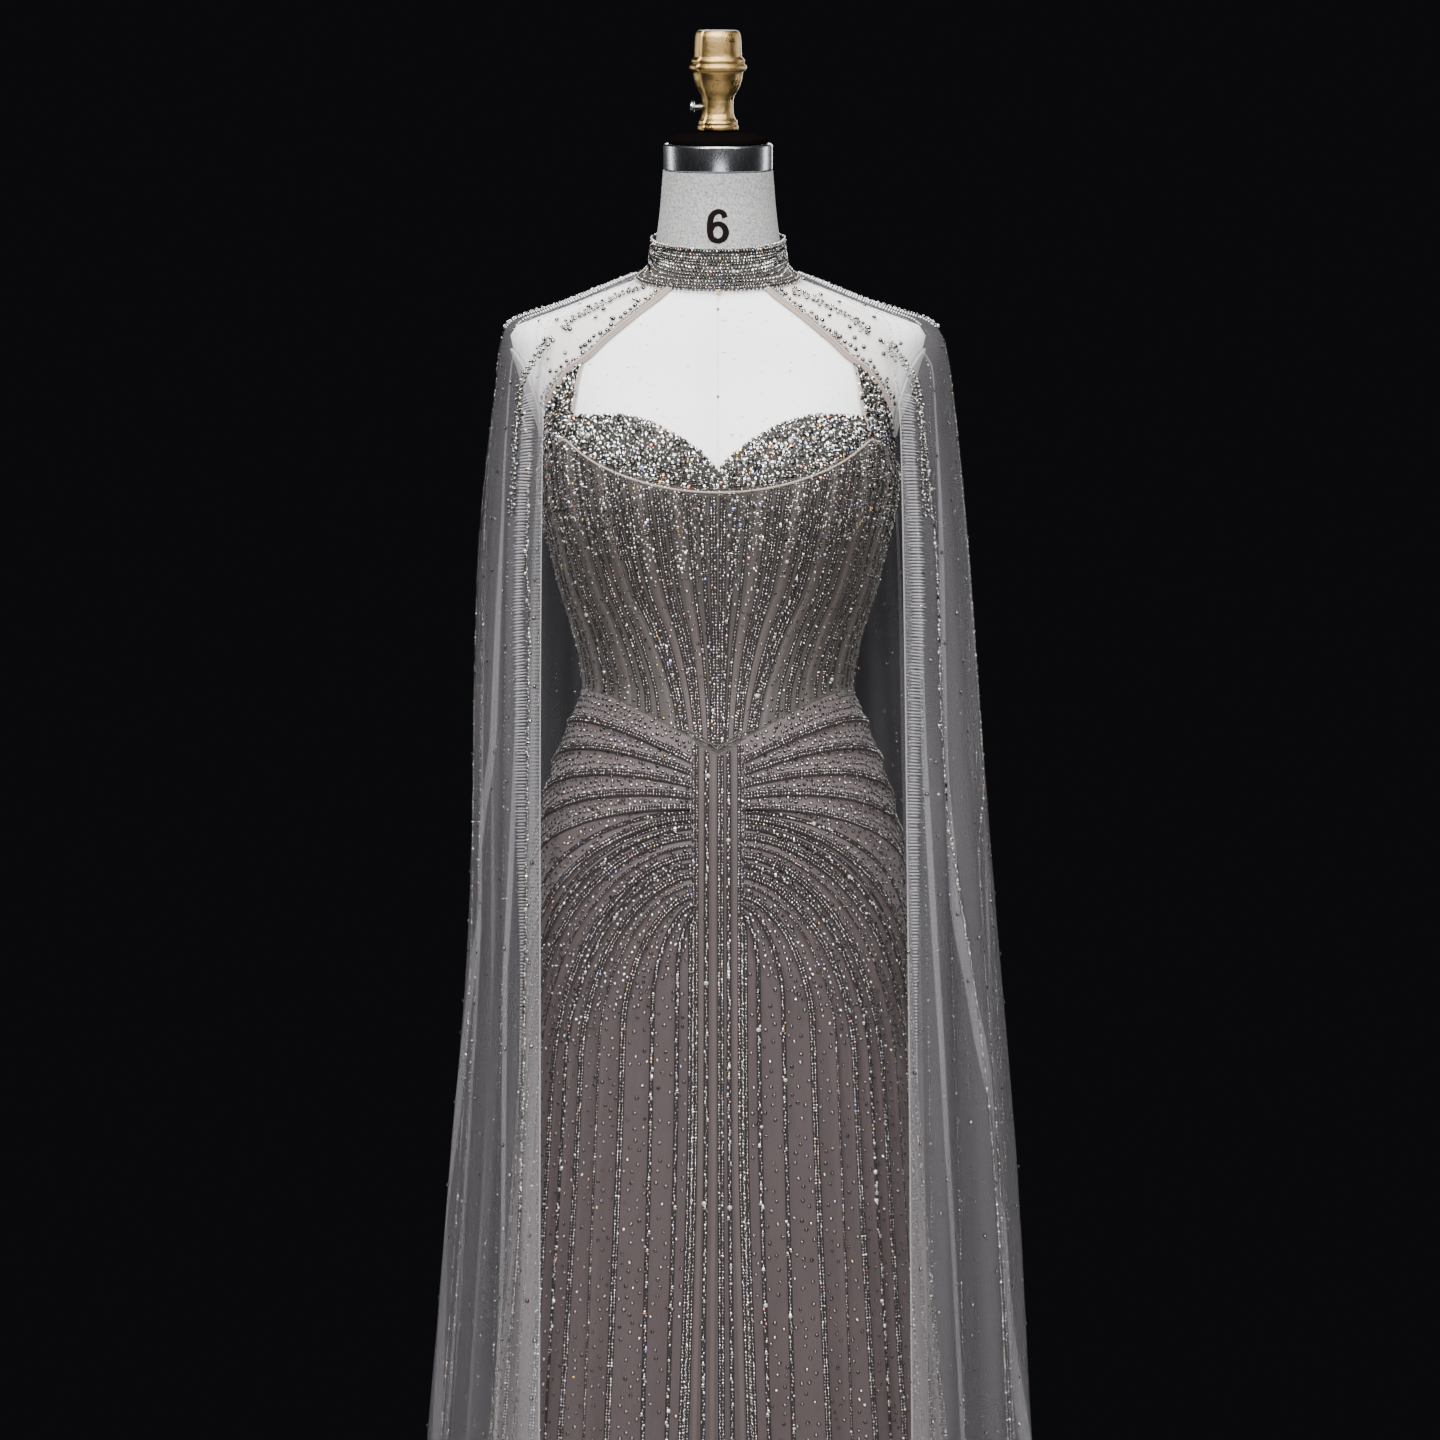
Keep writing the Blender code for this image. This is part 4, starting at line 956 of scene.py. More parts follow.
# %% Linen
LINEN_THREAD = 0.0014
linen, tree, shader = finish("bleached_linen", "#EDEAE8", 0.85, Sheen_Weight=0.1,
                             Specular_IOR_Level=0.25)
threads = add(tree, "TexCoord").outputs["UV"]
warp, weft = [add(tree, "TexWave", {"bands_direction": way, "Scale": WAVES / LINEN_THREAD,
                                    "Distortion": 1.5, "Detail": 2}, {"Vector": threads})
              for way in "XY"]
weave = add(tree, "Math", {"operation": "MAXIMUM"}, {0: warp.outputs[1], 1: weft.outputs[1]}).outputs[0]
slubs = add(tree, "TexNoise", {"Scale": each(3.846), "Detail": 2}, {"Vector": threads})
flecks = add(tree, "MapRange", {1: 0.66, 2: 0.76}, {0: slubs.outputs[0]}).outputs[0]
stains = add(tree, "TexNoise", {"Scale": each(167), "Detail": 3}, {"Vector": threads})
cloth_tone = two_tones(tree, stains.outputs[0], "#F6F3F3", "#FFFDFD")
place = add(tree, "TexCoord").outputs["Object"]
level = add(tree, "SeparateXYZ", None, {"Vector": place}).outputs["Z"]
neck_share = add(tree, "MapRange", {1: 1.405, 2: 1.425}, {0: level}).outputs[0]
pulp = add(tree, "TexNoise", {"Scale": each(1.923), "Detail": 3, "Roughness": 0.7},
           {"Vector": place})
speckle = add(tree, "MapRange", {1: 0.34, 2: 0.6}, {0: pulp.outputs[0]}).outputs[0]
neck_tone = two_tones(tree, speckle, "#6A6A6D", "#A6A6A4")
ground = add(tree, "Mix", {"data_type": "RGBA"}, {0: neck_share, 6: cloth_tone,
                                                 7: neck_tone}).outputs[2]
with_flecks = add(tree, "Mix", {"data_type": "RGBA", 7: srgb("#A79C8F")}, {0: flecks, 6: ground})
seams = add(tree, "Attribute", {"attribute_name": "seam"}).outputs["Fac"]
near_seam = add(tree, "MapRange", {1: 0.0004, 2: 0.0012, 3: 1, 4: 0}, {0: seams}).outputs[0]
seam_share = add(tree, "Math", {"operation": "MULTIPLY", 1: 0.3}, {0: near_seam}).outputs[0]
with_seams = add(tree, "Mix", {"data_type": "RGBA", 7: srgb("#B9B3B0")},
                 {0: seam_share, 6: with_flecks.outputs[2]})
tree.links.new(with_seams.outputs[2], shader.inputs["Base Color"])
lift = add(tree, "Math", {"operation": "SUBTRACT"}, {0: weave, 1: near_seam}).outputs[0]
relief(tree, shader, lift, 0.00012, 0.5)
print("linen has", len(tree.nodes), "nodes")

# %% [markdown]
# The neck band is polished steel, with fine scratches across it that soften what it mirrors. The
# finial is sand-cast and gilded: grit leaves a pebbled skin, and the gilt is worn pale and brown in
# patches. The cap is iron under a dull black enamel.

# %% Steel, gilt and enamel
steel, tree, shader = finish("polished_steel", "#9A9BA1", 0.26, 1, Anisotropic=0.3)
place = add(tree, "TexCoord").outputs["Object"]
drawn_out = add(tree, "Mapping", {"Scale": (1, 1, 0.04)}, {"Vector": place}).outputs[0]
scratches = add(tree, "TexNoise", {"Scale": each(1.111), "Detail": 2}, {"Vector": drawn_out})
rough = add(tree, "MapRange", {1: 0.35, 2: 0.7, 3: 0.25, 4: 0.28}, {0: scratches.outputs[0]})
tree.links.new(rough.outputs[0], shader.inputs["Roughness"])
relief(tree, shader, scratches.outputs[0], 0.00001, 0.2)

gilt, tree, shader = finish("gilded_sand_cast_brass", "#B0863F", 0.3, 1)
place = add(tree, "TexCoord").outputs["Object"]
sand = add(tree, "TexNoise", {"Scale": each(2.632), "Detail": 5, "Roughness": 0.75},
           {"Vector": place})
worn = add(tree, "TexNoise", {"Scale": each(16.67), "Detail": 4}, {"Vector": place})
tree.links.new(two_tones(tree, worn.outputs[0], "#8C6C38", "#D0B078"), shader.inputs["Base Color"])
rough = add(tree, "MapRange", {1: 0.3, 2: 0.7, 3: 0.24, 4: 0.38}, {0: worn.outputs[0]})
tree.links.new(rough.outputs[0], shader.inputs["Roughness"])
relief(tree, shader, sand.outputs[0], 0.0005, 0.9)

enamel, tree, shader = finish("black_enamelled_iron", "#050404", 0.8, Specular_IOR_Level=0)
place = add(tree, "TexCoord").outputs["Object"]
drips = add(tree, "TexNoise", {"Scale": each(8.333), "Detail": 3}, {"Vector": place})
tree.links.new(two_tones(tree, drips.outputs[0], "#050404", "#0B0908"), shader.inputs["Base Color"])
relief(tree, shader, drips.outputs[0], 0.0002, 0.4)
print("metals:", steel.name, gilt.name, enamel.name)

# %% [markdown]
# The arm plates are board under grey cloth, dull and a little fibrous, painted darker than the linen as
# painted shade beside the shoulder. The number is printed in a flat ink, thin enough to be mottled. The
# pins have brass heads.

# %% Board, ink and pins
# The board's grey is darker than the linen: painted shade beside the shoulder.
board, tree, shader = finish("grey_board_painted_shade", "#A4A2A1", 0.85, Specular_IOR_Level=0.2)
place = add(tree, "TexCoord").outputs["Object"]
fibres = add(tree, "TexNoise", {"Scale": each(3.333), "Detail": 4}, {"Vector": place})
tree.links.new(two_tones(tree, fibres.outputs[0], "#9C9A99", "#AAA8A7"), shader.inputs["Base Color"])
relief(tree, shader, fibres.outputs[0], 0.0001, 0.5)

# This flat dark ink also paints the finial's hole: painted shade for its inside.
ink_and_hole_shade, tree, shader = finish("screen_print_and_hole_shade", "#1C1312", 0.9, Specular_IOR_Level=0.05)
place = add(tree, "TexCoord").outputs["Object"]
mottle = add(tree, "TexNoise", {"Scale": each(1.4286)}, {"Vector": place})
tree.links.new(two_tones(tree, mottle.outputs[0], "#0C0707", "#171010"), shader.inputs["Base Color"])

pin_brass = finish("brass_pin_heads", "#A88A55", 0.28, 1)[0]
print("finishes:", len(bpy.data.materials))

# %% [markdown]
# ## The dress form
#
# The body is papier-mache laid up on a mould and covered in linen panels, so it is smooth, with
# faint seams at centre front and over each bust. How far each point lies from a seam is kept on the
# mesh for the linen to draw.

# %% The body
BUST_SEAM = 0.1155          # the panel seam over each bust, from centre front
rise = np.linspace(FORM_BOTTOM, FORM_TOP, 2000)
walk = lengths(form_surface(np.zeros(2000), rise)[:, None], 0)[:, 0]
body_rows = np.interp(np.linspace(0, walk[-1], 84), walk, rise)
turn, height = np.meshgrid(np.linspace(0, 2 * math.pi, 108, endpoint=False) + FRONT, body_rows)
body = form_surface(turn, height)
rows, columns = height.shape
faces = grid_faces(rows, columns, closed=True)
faces += [tuple(range(columns)), tuple(range((rows - 1) * columns, rows * columns))]
around = np.stack([np.abs(turn - FRONT) * 0.12, height], axis=-1).reshape(-1, 2)
torso = new_object("form_body", body.reshape(-1, 3), faces, [linen], thread=around)
from_seam = np.where(body[..., 1] < 0, np.minimum(np.abs(body[..., 0]),
                                                  np.abs(np.abs(body[..., 0]) - BUST_SEAM)), 0.02)
from_seam = np.where(height > 1.4, 0.02, from_seam)
torso.data.attributes.new("seam", "FLOAT", "POINT").data.foreach_set("value", from_seam.ravel())
torso.data.set_sharp_from_angle(angle=math.radians(50))
settle(torso, "linen", "form_torso")
print("body:", len(torso.data.polygons), "faces")

# %% [markdown]
# ### Arm plates, pins and the size number
#
# A round board closes each arm opening. Two brass pins are left in the centre front. The size is a
# plain number printed on the neck: one stroke of a broad pen, with each of its points laid on the
# neck so that it curves as print does.

# %% Arm plates
for side, word in SIDES:
    angle, share = np.meshgrid(np.linspace(0, 2 * math.pi, 64, endpoint=False),
                               [1, 1, 0.985, 0.96, 0.75, 0.5, 0.25, 0.02])
    plate_turn = mirrored(math.radians(20) * share * np.cos(angle), side)
    point, out = frame_on(form_surface, plate_turn, 1.318 + 0.04 * share * np.sin(angle))
    lift = np.array([0.0011, 0.0029, 0.0034, 0.0036, 0.0036, 0.0036, 0.0036, 0.0036])
    plate = (point + out * lift[:, None, None]).reshape(-1, 3)
    faces = grid_faces(8, 64, closed=True) + [tuple(range(7 * 64, 8 * 64))]
    settle(new_object(f"form_plate_{word}", plate, faces, [board]), "board",
           f"form_arm_plate_{word}")
    print(f"{word} arm plate: {len(faces)} faces")

# %% Pins in the centre front
for number, level in enumerate((1.3848, 1.3056)):
    spot, out = frame_on(form_surface, np.array([FRONT]), np.array([level]))
    set_beads(f"form_pin_{number + 1}", [("round", np.hstack([spot, out]), 0.0014, 0)],
              [pin_brass], [1], "pin_brass", lean=0)

# %% The size number
SIX_STROKE = np.array([  # the pen's way, across and up from the middle, and half its width
    (7, 8.4, 2.5), (5.6, 12.3, 2.4), (0.9, 14.6, 2.3), (-4.6, 12.2, 2.5), (-7.5, 5.6, 2.8),
    (-8, -2, 2.8), (-7.6, -7.6, 2.8), (-5.2, -12.9, 2.5), (0, -14.8, 2.3), (5.4, -12.5, 2.6),
    (7.9, -6.2, 2.8), (5.6, -0.2, 2.6), (0.4, 2.4, 2.2), (-4.6, 0.3, 2.3), (-7.2, -4.8, 2.3)])
SIX_UNIT, SIX_CENTRE, SIX_BOLD = 0.00089, 1.4603, 1.13
pen = row_at(np.column_stack([np.linspace(0, 1, len(SIX_STROKE)), SIX_STROKE]),
             np.linspace(0, 1, 120))
way, half = pen[:, :2], pen[:, 2:] * SIX_BOLD
aside = np.gradient(way, axis=0)[:, ::-1] * [-1, 1]
aside /= np.linalg.norm(aside, axis=1, keepdims=True)
inked = way[:, None] + aside[:, None] * half[:, None] * np.array([-1, -0.33, 0.33, 1])[:, None]
x, z = inked[..., 0] * SIX_UNIT, inked[..., 1] * SIX_UNIT + SIX_CENTRE
spot, out = frame_on(form_surface, turn_at(FORM_SECTIONS, np.abs(x), z), z)
spot[..., 0] = x
out[..., 0] *= np.sign(x)
spot = spot + out * np.linspace(0.0003, 0.0004, 120)[:, None, None]
six = new_object("form_size_number", spot.reshape(-1, 3), grid_faces(120, 4), [ink_and_hole_shade])
settle(six, "print")
print("size number:", len(six.data.polygons), "faces")

# %% [markdown]
# ### Neck band, cap, finial and stand
#
# These are turned or cast round one axis, so each is a profile spun round it, with its corners
# eased by about a millimetre because metal never has a true sharp edge. The finial is cast in a
# two-part mould, which leaves a fin up its side: a ridge raised in the spun surface.

# %% Turning
FIN_TURN = math.radians(224.3)


def eased(profile, radius):
    """A profile with each inner corner replaced by a short curve."""
    points = [np.array(profile[0], dtype=float)]
    for before, corner, after in zip(profile, profile[1:], profile[2:]):
        corner = np.array(corner, dtype=float)
        ends = []
        for other in (before, after):
            way = np.array(other) - corner
            length = np.linalg.norm(way)
            ends.append(corner + way * min(radius / max(length, 1e-9), 0.45))
        for t in (0, 0.35, 0.65, 1):
            points.append((1 - t) ** 2 * ends[0] + 2 * t * (1 - t) * corner + t * t * ends[1])
    return np.array(points + [np.array(profile[-1], dtype=float)])


def about_x(angle):
    """A turn about the X axis, as a matrix."""
    return np.array([[1, 0, 0], [0, math.cos(angle), -math.sin(angle)],
                     [0, math.sin(angle), math.cos(angle)]])


def turned_piece(name, profile, made, slot, node, place, tilt=(0, 0), ease=0.001,
                 segments=96, fin=0):
    """A profile of (radius, height) spun round an axis, tilted about X and Y and moved."""
    rings = eased(profile, ease)
    angle = np.linspace(0, 2 * math.pi, segments, endpoint=False)
    angle = np.sort(np.concatenate([angle, FIN_TURN + np.array([-0.07, -0.03, 0, 0.03, 0.07])]))
    swell = fin * np.exp(-((angle - FIN_TURN) / 0.03) ** 2)
    radius = rings[:, :1] + np.where(rings[:, :1] > 0.004, swell[None, :], 0)
    point = np.stack([radius * np.cos(angle), radius * np.sin(angle),
                      rings[:, 1:] + 0 * angle], axis=-1).reshape(-1, 3)
    nod, roll = tilt
    turn_y = np.array([[math.cos(roll), 0, math.sin(roll)], [0, 1, 0],
                       [-math.sin(roll), 0, math.cos(roll)]])
    piece = new_object(name, point @ turn_y.T @ about_x(nod).T + np.array(place),
                       grid_faces(len(rings), len(angle), closed=True), [made])
    piece.data.set_sharp_from_angle(angle=math.radians(60))
    print(f"{name}: {len(piece.data.polygons)} faces")
    return settle(piece, slot, node)


# %% Neck band, cap and finial
NECK = (0, NECK_CENTRE, FORM_TOP + SEAM_GAP)
LEAN = (NECK_TILT, 0)
turned_piece("form_band", [(0.0001, 0), (0.048, 0), (0.049, 0.0012), (0.049, 0.0222),
                           (0.0478, 0.0235), (0.0001, 0.0235)], steel, "neck_metal",
             "form_neck_band", NECK, LEAN, 0.0006, 128)
turned_piece("form_cap", [(0.0001, 0.0238), (0.0455, 0.0238), (0.044, 0.029), (0.03, 0.0335),
                          (0.013, 0.035), (0.0001, 0.035)], enamel, "black_iron",
             "form_neck_cap", NECK, LEAN, 0.0015)
turned_piece("form_finial_cast", [
    (0.0001, 0.0353), (0.0178, 0.0353), (0.0183, 0.0368), (0.0183, 0.0392), (0.0172, 0.0402),
    (0.0178, 0.0418), (0.0172, 0.0438), (0.0152, 0.0462), (0.0142, 0.05), (0.0138, 0.056),
    (0.014, 0.0625), (0.0148, 0.066), (0.017, 0.0695), (0.0196, 0.0745), (0.0214, 0.08),
    (0.0221, 0.085), (0.0226, 0.0872), (0.025, 0.0886), (0.0258, 0.0902), (0.0256, 0.0925),
    (0.024, 0.0938), (0.0232, 0.0944), (0.024, 0.0956), (0.0241, 0.0976), (0.0226, 0.0992),
    (0.0212, 0.1002), (0.0211, 0.106), (0.0207, 0.114), (0.0203, 0.1185), (0.0194, 0.1218),
    (0.0172, 0.1236), (0.0001, 0.124)],
    gilt, "gilt", "form_finial", NECK, LEAN, 0.0007, 72, fin=0.0013)

# %% [markdown]
# A thumb screw locks the finial. A small hole in it is drawn as a raised dark dot, painted shade
# for the hole's inside. The pole and the heavy round base are plain, since the gown hides them.

# %% Thumb screw, hole, pole and base
hole_place = np.array([0.0118, -0.011, 0.064])
hole_way = np.array([0.62, -0.78, 0])
hole = np.hstack([about_x(NECK_TILT) @ hole_place + np.array(NECK), about_x(NECK_TILT) @ hole_way])
set_beads("finial_hole_painted_shade", [("round", hole[None], 0.0014, 0)], [ink_and_hole_shade], [1], "gilt", lean=0)
screw_place = np.array(NECK) + np.array([-0.0138, -0.056 * math.sin(NECK_TILT),
                                         0.056 * math.cos(NECK_TILT)])
turned_piece("form_screw", [(0.0001, 0), (0.0028, 0), (0.0028, 0.007), (0.0052, 0.0072),
                            (0.0055, 0.009), (0.0052, 0.0108), (0.0001, 0.011)], steel, "gilt",
             "form_finial_screw", screw_place, (NECK_TILT, -math.pi / 2), 0.0004, 24)
pole_top = FORM_BOTTOM - SEAM_GAP
turned_piece("stand_pole", [
    (0.0001, 0.0303), (0.034, 0.0303), (0.034, 0.045), (0.019, 0.06), (0.016, 0.066),
    (0.016, pole_top - 0.03), (0.03, pole_top - 0.022), (0.045, pole_top), (0.0001, pole_top)],
    enamel, "black_iron", "form_pole", (0, 0, 0), ease=0.002, segments=48)
turned_piece("stand_base", [(0.0001, 0), (0.185, 0), (0.185, 0.008), (0.177, 0.014),
                            (0.09, 0.024), (0.045, 0.03), (0.0001, 0.03)], enamel, "black_iron",
             "form_base", (0, 0, 0), ease=0.002)

# %% [markdown]
# ## The bodice
# The bodice is a corset cut in panels: a front and a side front that meet on the princess seam, and
# a back with a hidden zip. Each panel is a patch of the body's surface, so the panels fit edge to
# edge. A cloth is cut larger than it finishes. A cloth is cut larger than it finishes, and that flat
# size is told to the table of pieces.


def sew(name, cloth, made, slot, nodes, turned_hem=False):
    """A cloth shell and its turned-up hem; its width and length are measured but not used."""
    point, out = cloth["point"], cloth["out"]
    if turned_hem:
        fold = [point[0] - out[0] * 0.0012, point[3] - out[3] * 0.0014]
        point = np.concatenate([np.stack(fold[::-1]), point])
    rows, columns = point.shape[:2]
    piece = new_object(name, point.reshape(-1, 3), grid_faces(rows, columns), [made],
                       thread=thread_map(point))
    settle(piece, slot, *nodes)
    wide = lengths(cloth["point"], 1)[:, -1]
    tall = lengths(cloth["point"], 0)[-1]
    return piece


# %% Panels of the bodice
BODICE_PANELS = (  # name, start, end, columns, rows
    ("bodice_front", constant(FRONT), princess, 30, 60),
    ("bodice_side_front", princess, constant(SIDE), 36, 60),
    ("bodice_back", constant(SIDE), constant(BACK), 44, 48))
bodice = {}
for side, word in SIDES:
    for name, start, end, columns, rows in BODICE_PANELS:
        turn, height = patch(start, end, waist_seam, bodice_top, columns, rows, form_surface)
        cloth = cloth_grid(form_surface, turn, height, CLOTH_FACE, side)
        bodice[f"{name}_{word}"] = cloth
        sew(f"{name}_{word}_cloth", cloth, bodice_satin, "beaded_cloth", [f"{name}_{word}"])

# %% [markdown]
# The bones of a corset slide into narrow channels sewn down the panels. Bindings and channels are
# all strips laid along a path, so one function makes them: a flat arch of seven points, repeated.

# %% A strip along a path


def ribbon(name, point, out, width, rise, made, slot, nodes=()):
    """A narrow rounded strip, such as a binding or a channel, sewn along a path."""
    aside = np.cross(out, np.gradient(point, axis=0))
    aside /= np.linalg.norm(aside, axis=-1, keepdims=True)
    shares = np.linspace(-1, 1, 7)
    grid = (point[:, None] + aside[:, None] * (shares * width / 2)[None, :, None]
            + out[:, None] * (rise * np.sqrt(1 - 0.96 * shares ** 2))[None, :, None])
    piece = new_object(name, grid.reshape(-1, 3), grid_faces(len(point), 7), [made],
                       thread=thread_map(grid))
    return settle(piece, slot, *nodes)


# %% Boning channels and the bound upper edge
CHANNELS = {"bodice_front": (0.31, 0.66), "bodice_side_front": (0.03, 0.28, 0.56, 0.84),
            "bodice_back": (0.02, 0.25, 0.5, 0.75, 0.98)}
for word in ("left", "right"):
    for name, shares in CHANNELS.items():
        for number, share in enumerate(shares):
            point, out = path_on(bodice[f"{name}_{word}"], [share, share], [0, 1], 60)
            ribbon(f"{name}_{word}_channel_{number + 1}", point, out, 0.005, 0.0005,
                   channel_satin, "beaded_cloth")
    ends = find(bodice[f"bodice_side_front_{word}"], [(1.27, -33)])[0][0]
    for name, reach in (("bodice_front", 1), ("bodice_side_front", ends)):
        cloth = bodice[f"{name}_{word}"]
        point, out = path_on(cloth, [0, reach / 2, reach], [0.985, 0.985, 0.985], 60)
        ribbon(f"{name}_{word}_top_edge", point, out, 0.002, 0.0013, pale_bias_with_painted_highlight, "binding")
print("channels in each half:", sum(map(len, CHANNELS.values())))

# %% [markdown]
# ### Cups, wings, yoke and collar
#
# The cups rise above the U-shaped edge and are slightly padded. A wing beside each one carries the
# beading up to a tip by the opening. The yoke itself is one layer of ivory net. Its keyhole edge is
# bound in bias-cut satin that runs out over the wing, and all of it hangs from the stand collar.

# %% Cups and wings
for side, word in SIDES:
    turn, height = patch(constant(FRONT), keyhole, bodice_top, cup_top, 40, 16, form_surface)
    swell = CUP_PADDING * np.sin(math.pi * np.linspace(0, 1, 17))[:, None] + 0 * turn
    bodice[f"cup_{word}"] = cloth_grid(form_surface, turn, height, CLOTH_FACE + swell, side)
    sew(f"cup_{word}_cloth", bodice[f"cup_{word}"], packed_satin_painted_shade, "beaded_cloth", [f"cup_{word}"])
    turn, height = patch(keyhole, wing_outer, bodice_top, constant(WING_TOP), 14, 30, form_surface)
    bodice[f"wing_{word}"] = cloth_grid(form_surface, turn, height, CLOTH_FACE, side)
    sew(f"wing_{word}_cloth", bodice[f"wing_{word}"], packed_satin_painted_shade, "beaded_cloth",
        [f"bodice_wing_{word}"])
    point, out = path_on(bodice[f"wing_{word}"], [0.02, 0.02, 0.02], [0.02, 0.5, 0.97], 60)
    ribbon(f"wing_{word}_edge", point, out, 0.0024, 0.0014, pale_bias_with_painted_highlight, "binding")

# %% Yoke and keyhole binding
for side, word in SIDES:
    turn, height = patch(yoke_inner, armhole, constant(YOKE_BOTTOM), under_collar, 34, 72,
                         form_surface)
    bodice[f"yoke_{word}"] = cloth_grid(form_surface, turn, height, NET_FACE, side)
    sew(f"yoke_{word}_net", bodice[f"yoke_{word}"], yoke_net, "net", [f"yoke_front_{word}"])
    level = np.linspace(BINDING_BOTTOM, 1.4068, 110)
    point, out = frame_on(form_surface, mirrored(binding_path(level), side), level)
    over_wing = 0.0016 * smooth((1.345 - level) / 0.012)[:, None]
    ribbon(f"keyhole_binding_{word}_bias", point + out * (0.0014 + over_wing), out, 0.0062, 0.0022,
           pale_bias_with_painted_highlight, "binding", [f"keyhole_binding_{word}"])
    ribbon(f"keyhole_binding_{word}_cord", point + out * (0.0034 + over_wing), out, 0.0018, 0.0012,
           pale_bias_with_painted_highlight, "binding")

# %% Collar and its buttons
turn, height = patch(constant(FRONT * 3 + COLLAR_SLIT), constant(BACK - COLLAR_SLIT),
                     collar_bottom, collar_top, 150, 10, form_surface)
collar = cloth_grid(form_surface, turn, height, COLLAR_FACE)
sew("collar_cloth", collar, packed_satin_painted_shade, "beaded_cloth", ["collar"])
for number in (1, 2, 3):
    button = bpy.data.objects[f"collar_button_{number}"]
    button.data.materials.clear()
    button.data.materials.append(channel_satin)
print("collar:", round(float(lengths(collar["point"], 1)[5, -1]), 3), "m round")

# %% [markdown]
# ## The skirt
#
# The skirt's front is draped on the stand, pinned in small tucks that spread from a strip at centre
# front, round over the hip, and fall straight to the hem. A table gives each tuck's line. The
# cloth's grid is laid out along those lines, so a tuck is a raised column that keeps its line.

# %% Lines of the drape


def drape_row(number):
    """One line's start, rise, fall, knee turn and roundness, between the table's rows too."""
    return [float(np.interp(number, range(len(DRAPE)), column)) for column in DRAPE.T]


def drape_line(number, rows):
    """Turns and heights along one line of the drape, from the strip to its knee."""
    start, rise, fall, knee_turn, roundness = drape_row(number)
    first = float(strip_edge(np.array(start)))
    if number == 0:
        turn = np.linspace(first, SIDE, rows + 1)
        return turn, under_basque(turn)
    bend = np.linspace(0, math.pi / 2, 240)
    last = first if number == len(DRAPE) - 1 else min(math.radians(knee_turn), SIDE)
    turn = first + (last - first) * np.sin(bend) ** (2 / roundness)
    seam_shape = (waist_seam(turn) - waist_seam(first)) / (WAIST_HEIGHT - waist_seam(first))
    height = start + rise * seam_shape - fall * (1 - np.cos(bend) ** (2 / roundness))
    length = lengths(skirt_surface(turn, height)[:, None], 0)[:, 0]
    even = np.linspace(0, length[-1], rows + 1)
    return np.interp(even, length, turn), np.interp(even, length, height)


def tuck(number):
    """How high the cloth stands across the tucks: rounded, with its steeper side below."""
    wave = 0.5 + 0.5 * np.cos(2 * math.pi * (number + 0.07 * np.sin(2 * math.pi * number)))
    return wave ** 1.7 * smooth(number / 0.6) * smooth((len(DRAPE) - 1 - number) / 0.6)


print("first line with a knee:", np.round(drape_row(SIDE_RIDGES), 3))

# %% [markdown]
# Each front is laid out as two cloths that share one line. On the hip the tucks run across to the
# side seam; below it they turn down at their knees and fall to the hem, dying away as they go.

# %% Layout of the drape
HIP_ROWS, FALL_ROWS = 44, 56
hip_numbers = np.linspace(0, SIDE_RIDGES, 61)
fall_numbers = np.linspace(SIDE_RIDGES, len(DRAPE) - 1, 128)
hip_turn, hip_height = np.moveaxis([np.stack(drape_line(n, HIP_ROWS)) for n in hip_numbers], 0, -1)
knee_turn, knee_height = np.moveaxis([np.stack(drape_line(n, HIP_ROWS)) for n in fall_numbers],
                                     0, -1)
below = np.linspace(0, 1, FALL_ROWS + 1)[1:, None] ** 1.1
fall_height = knee_height[-1] + (HEM_HEIGHT - knee_height[-1]) * below
widen = np.linspace(0, 1, len(fall_numbers)) ** 6
fall_turn = knee_turn[-1] + (strip_edge(fall_height) - strip_edge(knee_height[-1])) * widen
hip_fade = 0.35 + 0.65 * np.sin(np.linspace(0.1, 2.7, HIP_ROWS + 1))[:, None]
flat_side = 1 - (1 - smooth((fall_numbers - SIDE_RIDGES) / 0.4)) * smooth(below / 0.1)
fall_fade = np.vstack([hip_fade + 0 * fall_numbers, 0.62 * (1 - below) ** 1.3 * flat_side])
LAYOUTS = {  # turns, heights and how high the cloth stands, from 0 to 1
    "hip": (hip_turn, hip_height, hip_fade * tuck(hip_numbers)),
    "fall": (np.vstack([knee_turn, fall_turn]), np.vstack([knee_height, fall_height]),
             fall_fade * tuck(fall_numbers)),
}
print("grids:", {part: layout[0].shape for part, layout in LAYOUTS.items()})

# %% Draped fronts
skirt = {}
for side, word in SIDES:
    for part, (turn, height, standing) in LAYOUTS.items():
        turn = np.clip(turn, strip_edge(height) + SIDE_INSET, SIDE - SIDE_INSET)
        pucker = 0.0004 * np.sin(turn * 61 + height * 173) * np.sin(turn * 23 - height * 97)
        cloth = cloth_grid(skirt_surface, turn, height,
                           CLOTH_FACE + RIDGE_RISE * standing + pucker * (height > 0.2), side)
        skirt[f"{part}_{word}"] = cloth
        sew(f"skirt_front_{word}_{part}", cloth, skirt_satin, "beaded_cloth",
            [f"skirt_front_{word}"])

# %% [markdown]
# The strip hangs flat down the centre front, with three covered channels. The backs are smooth over
# the seat with faint creases below. Hems are turned up, since a bare edge would look like paper.

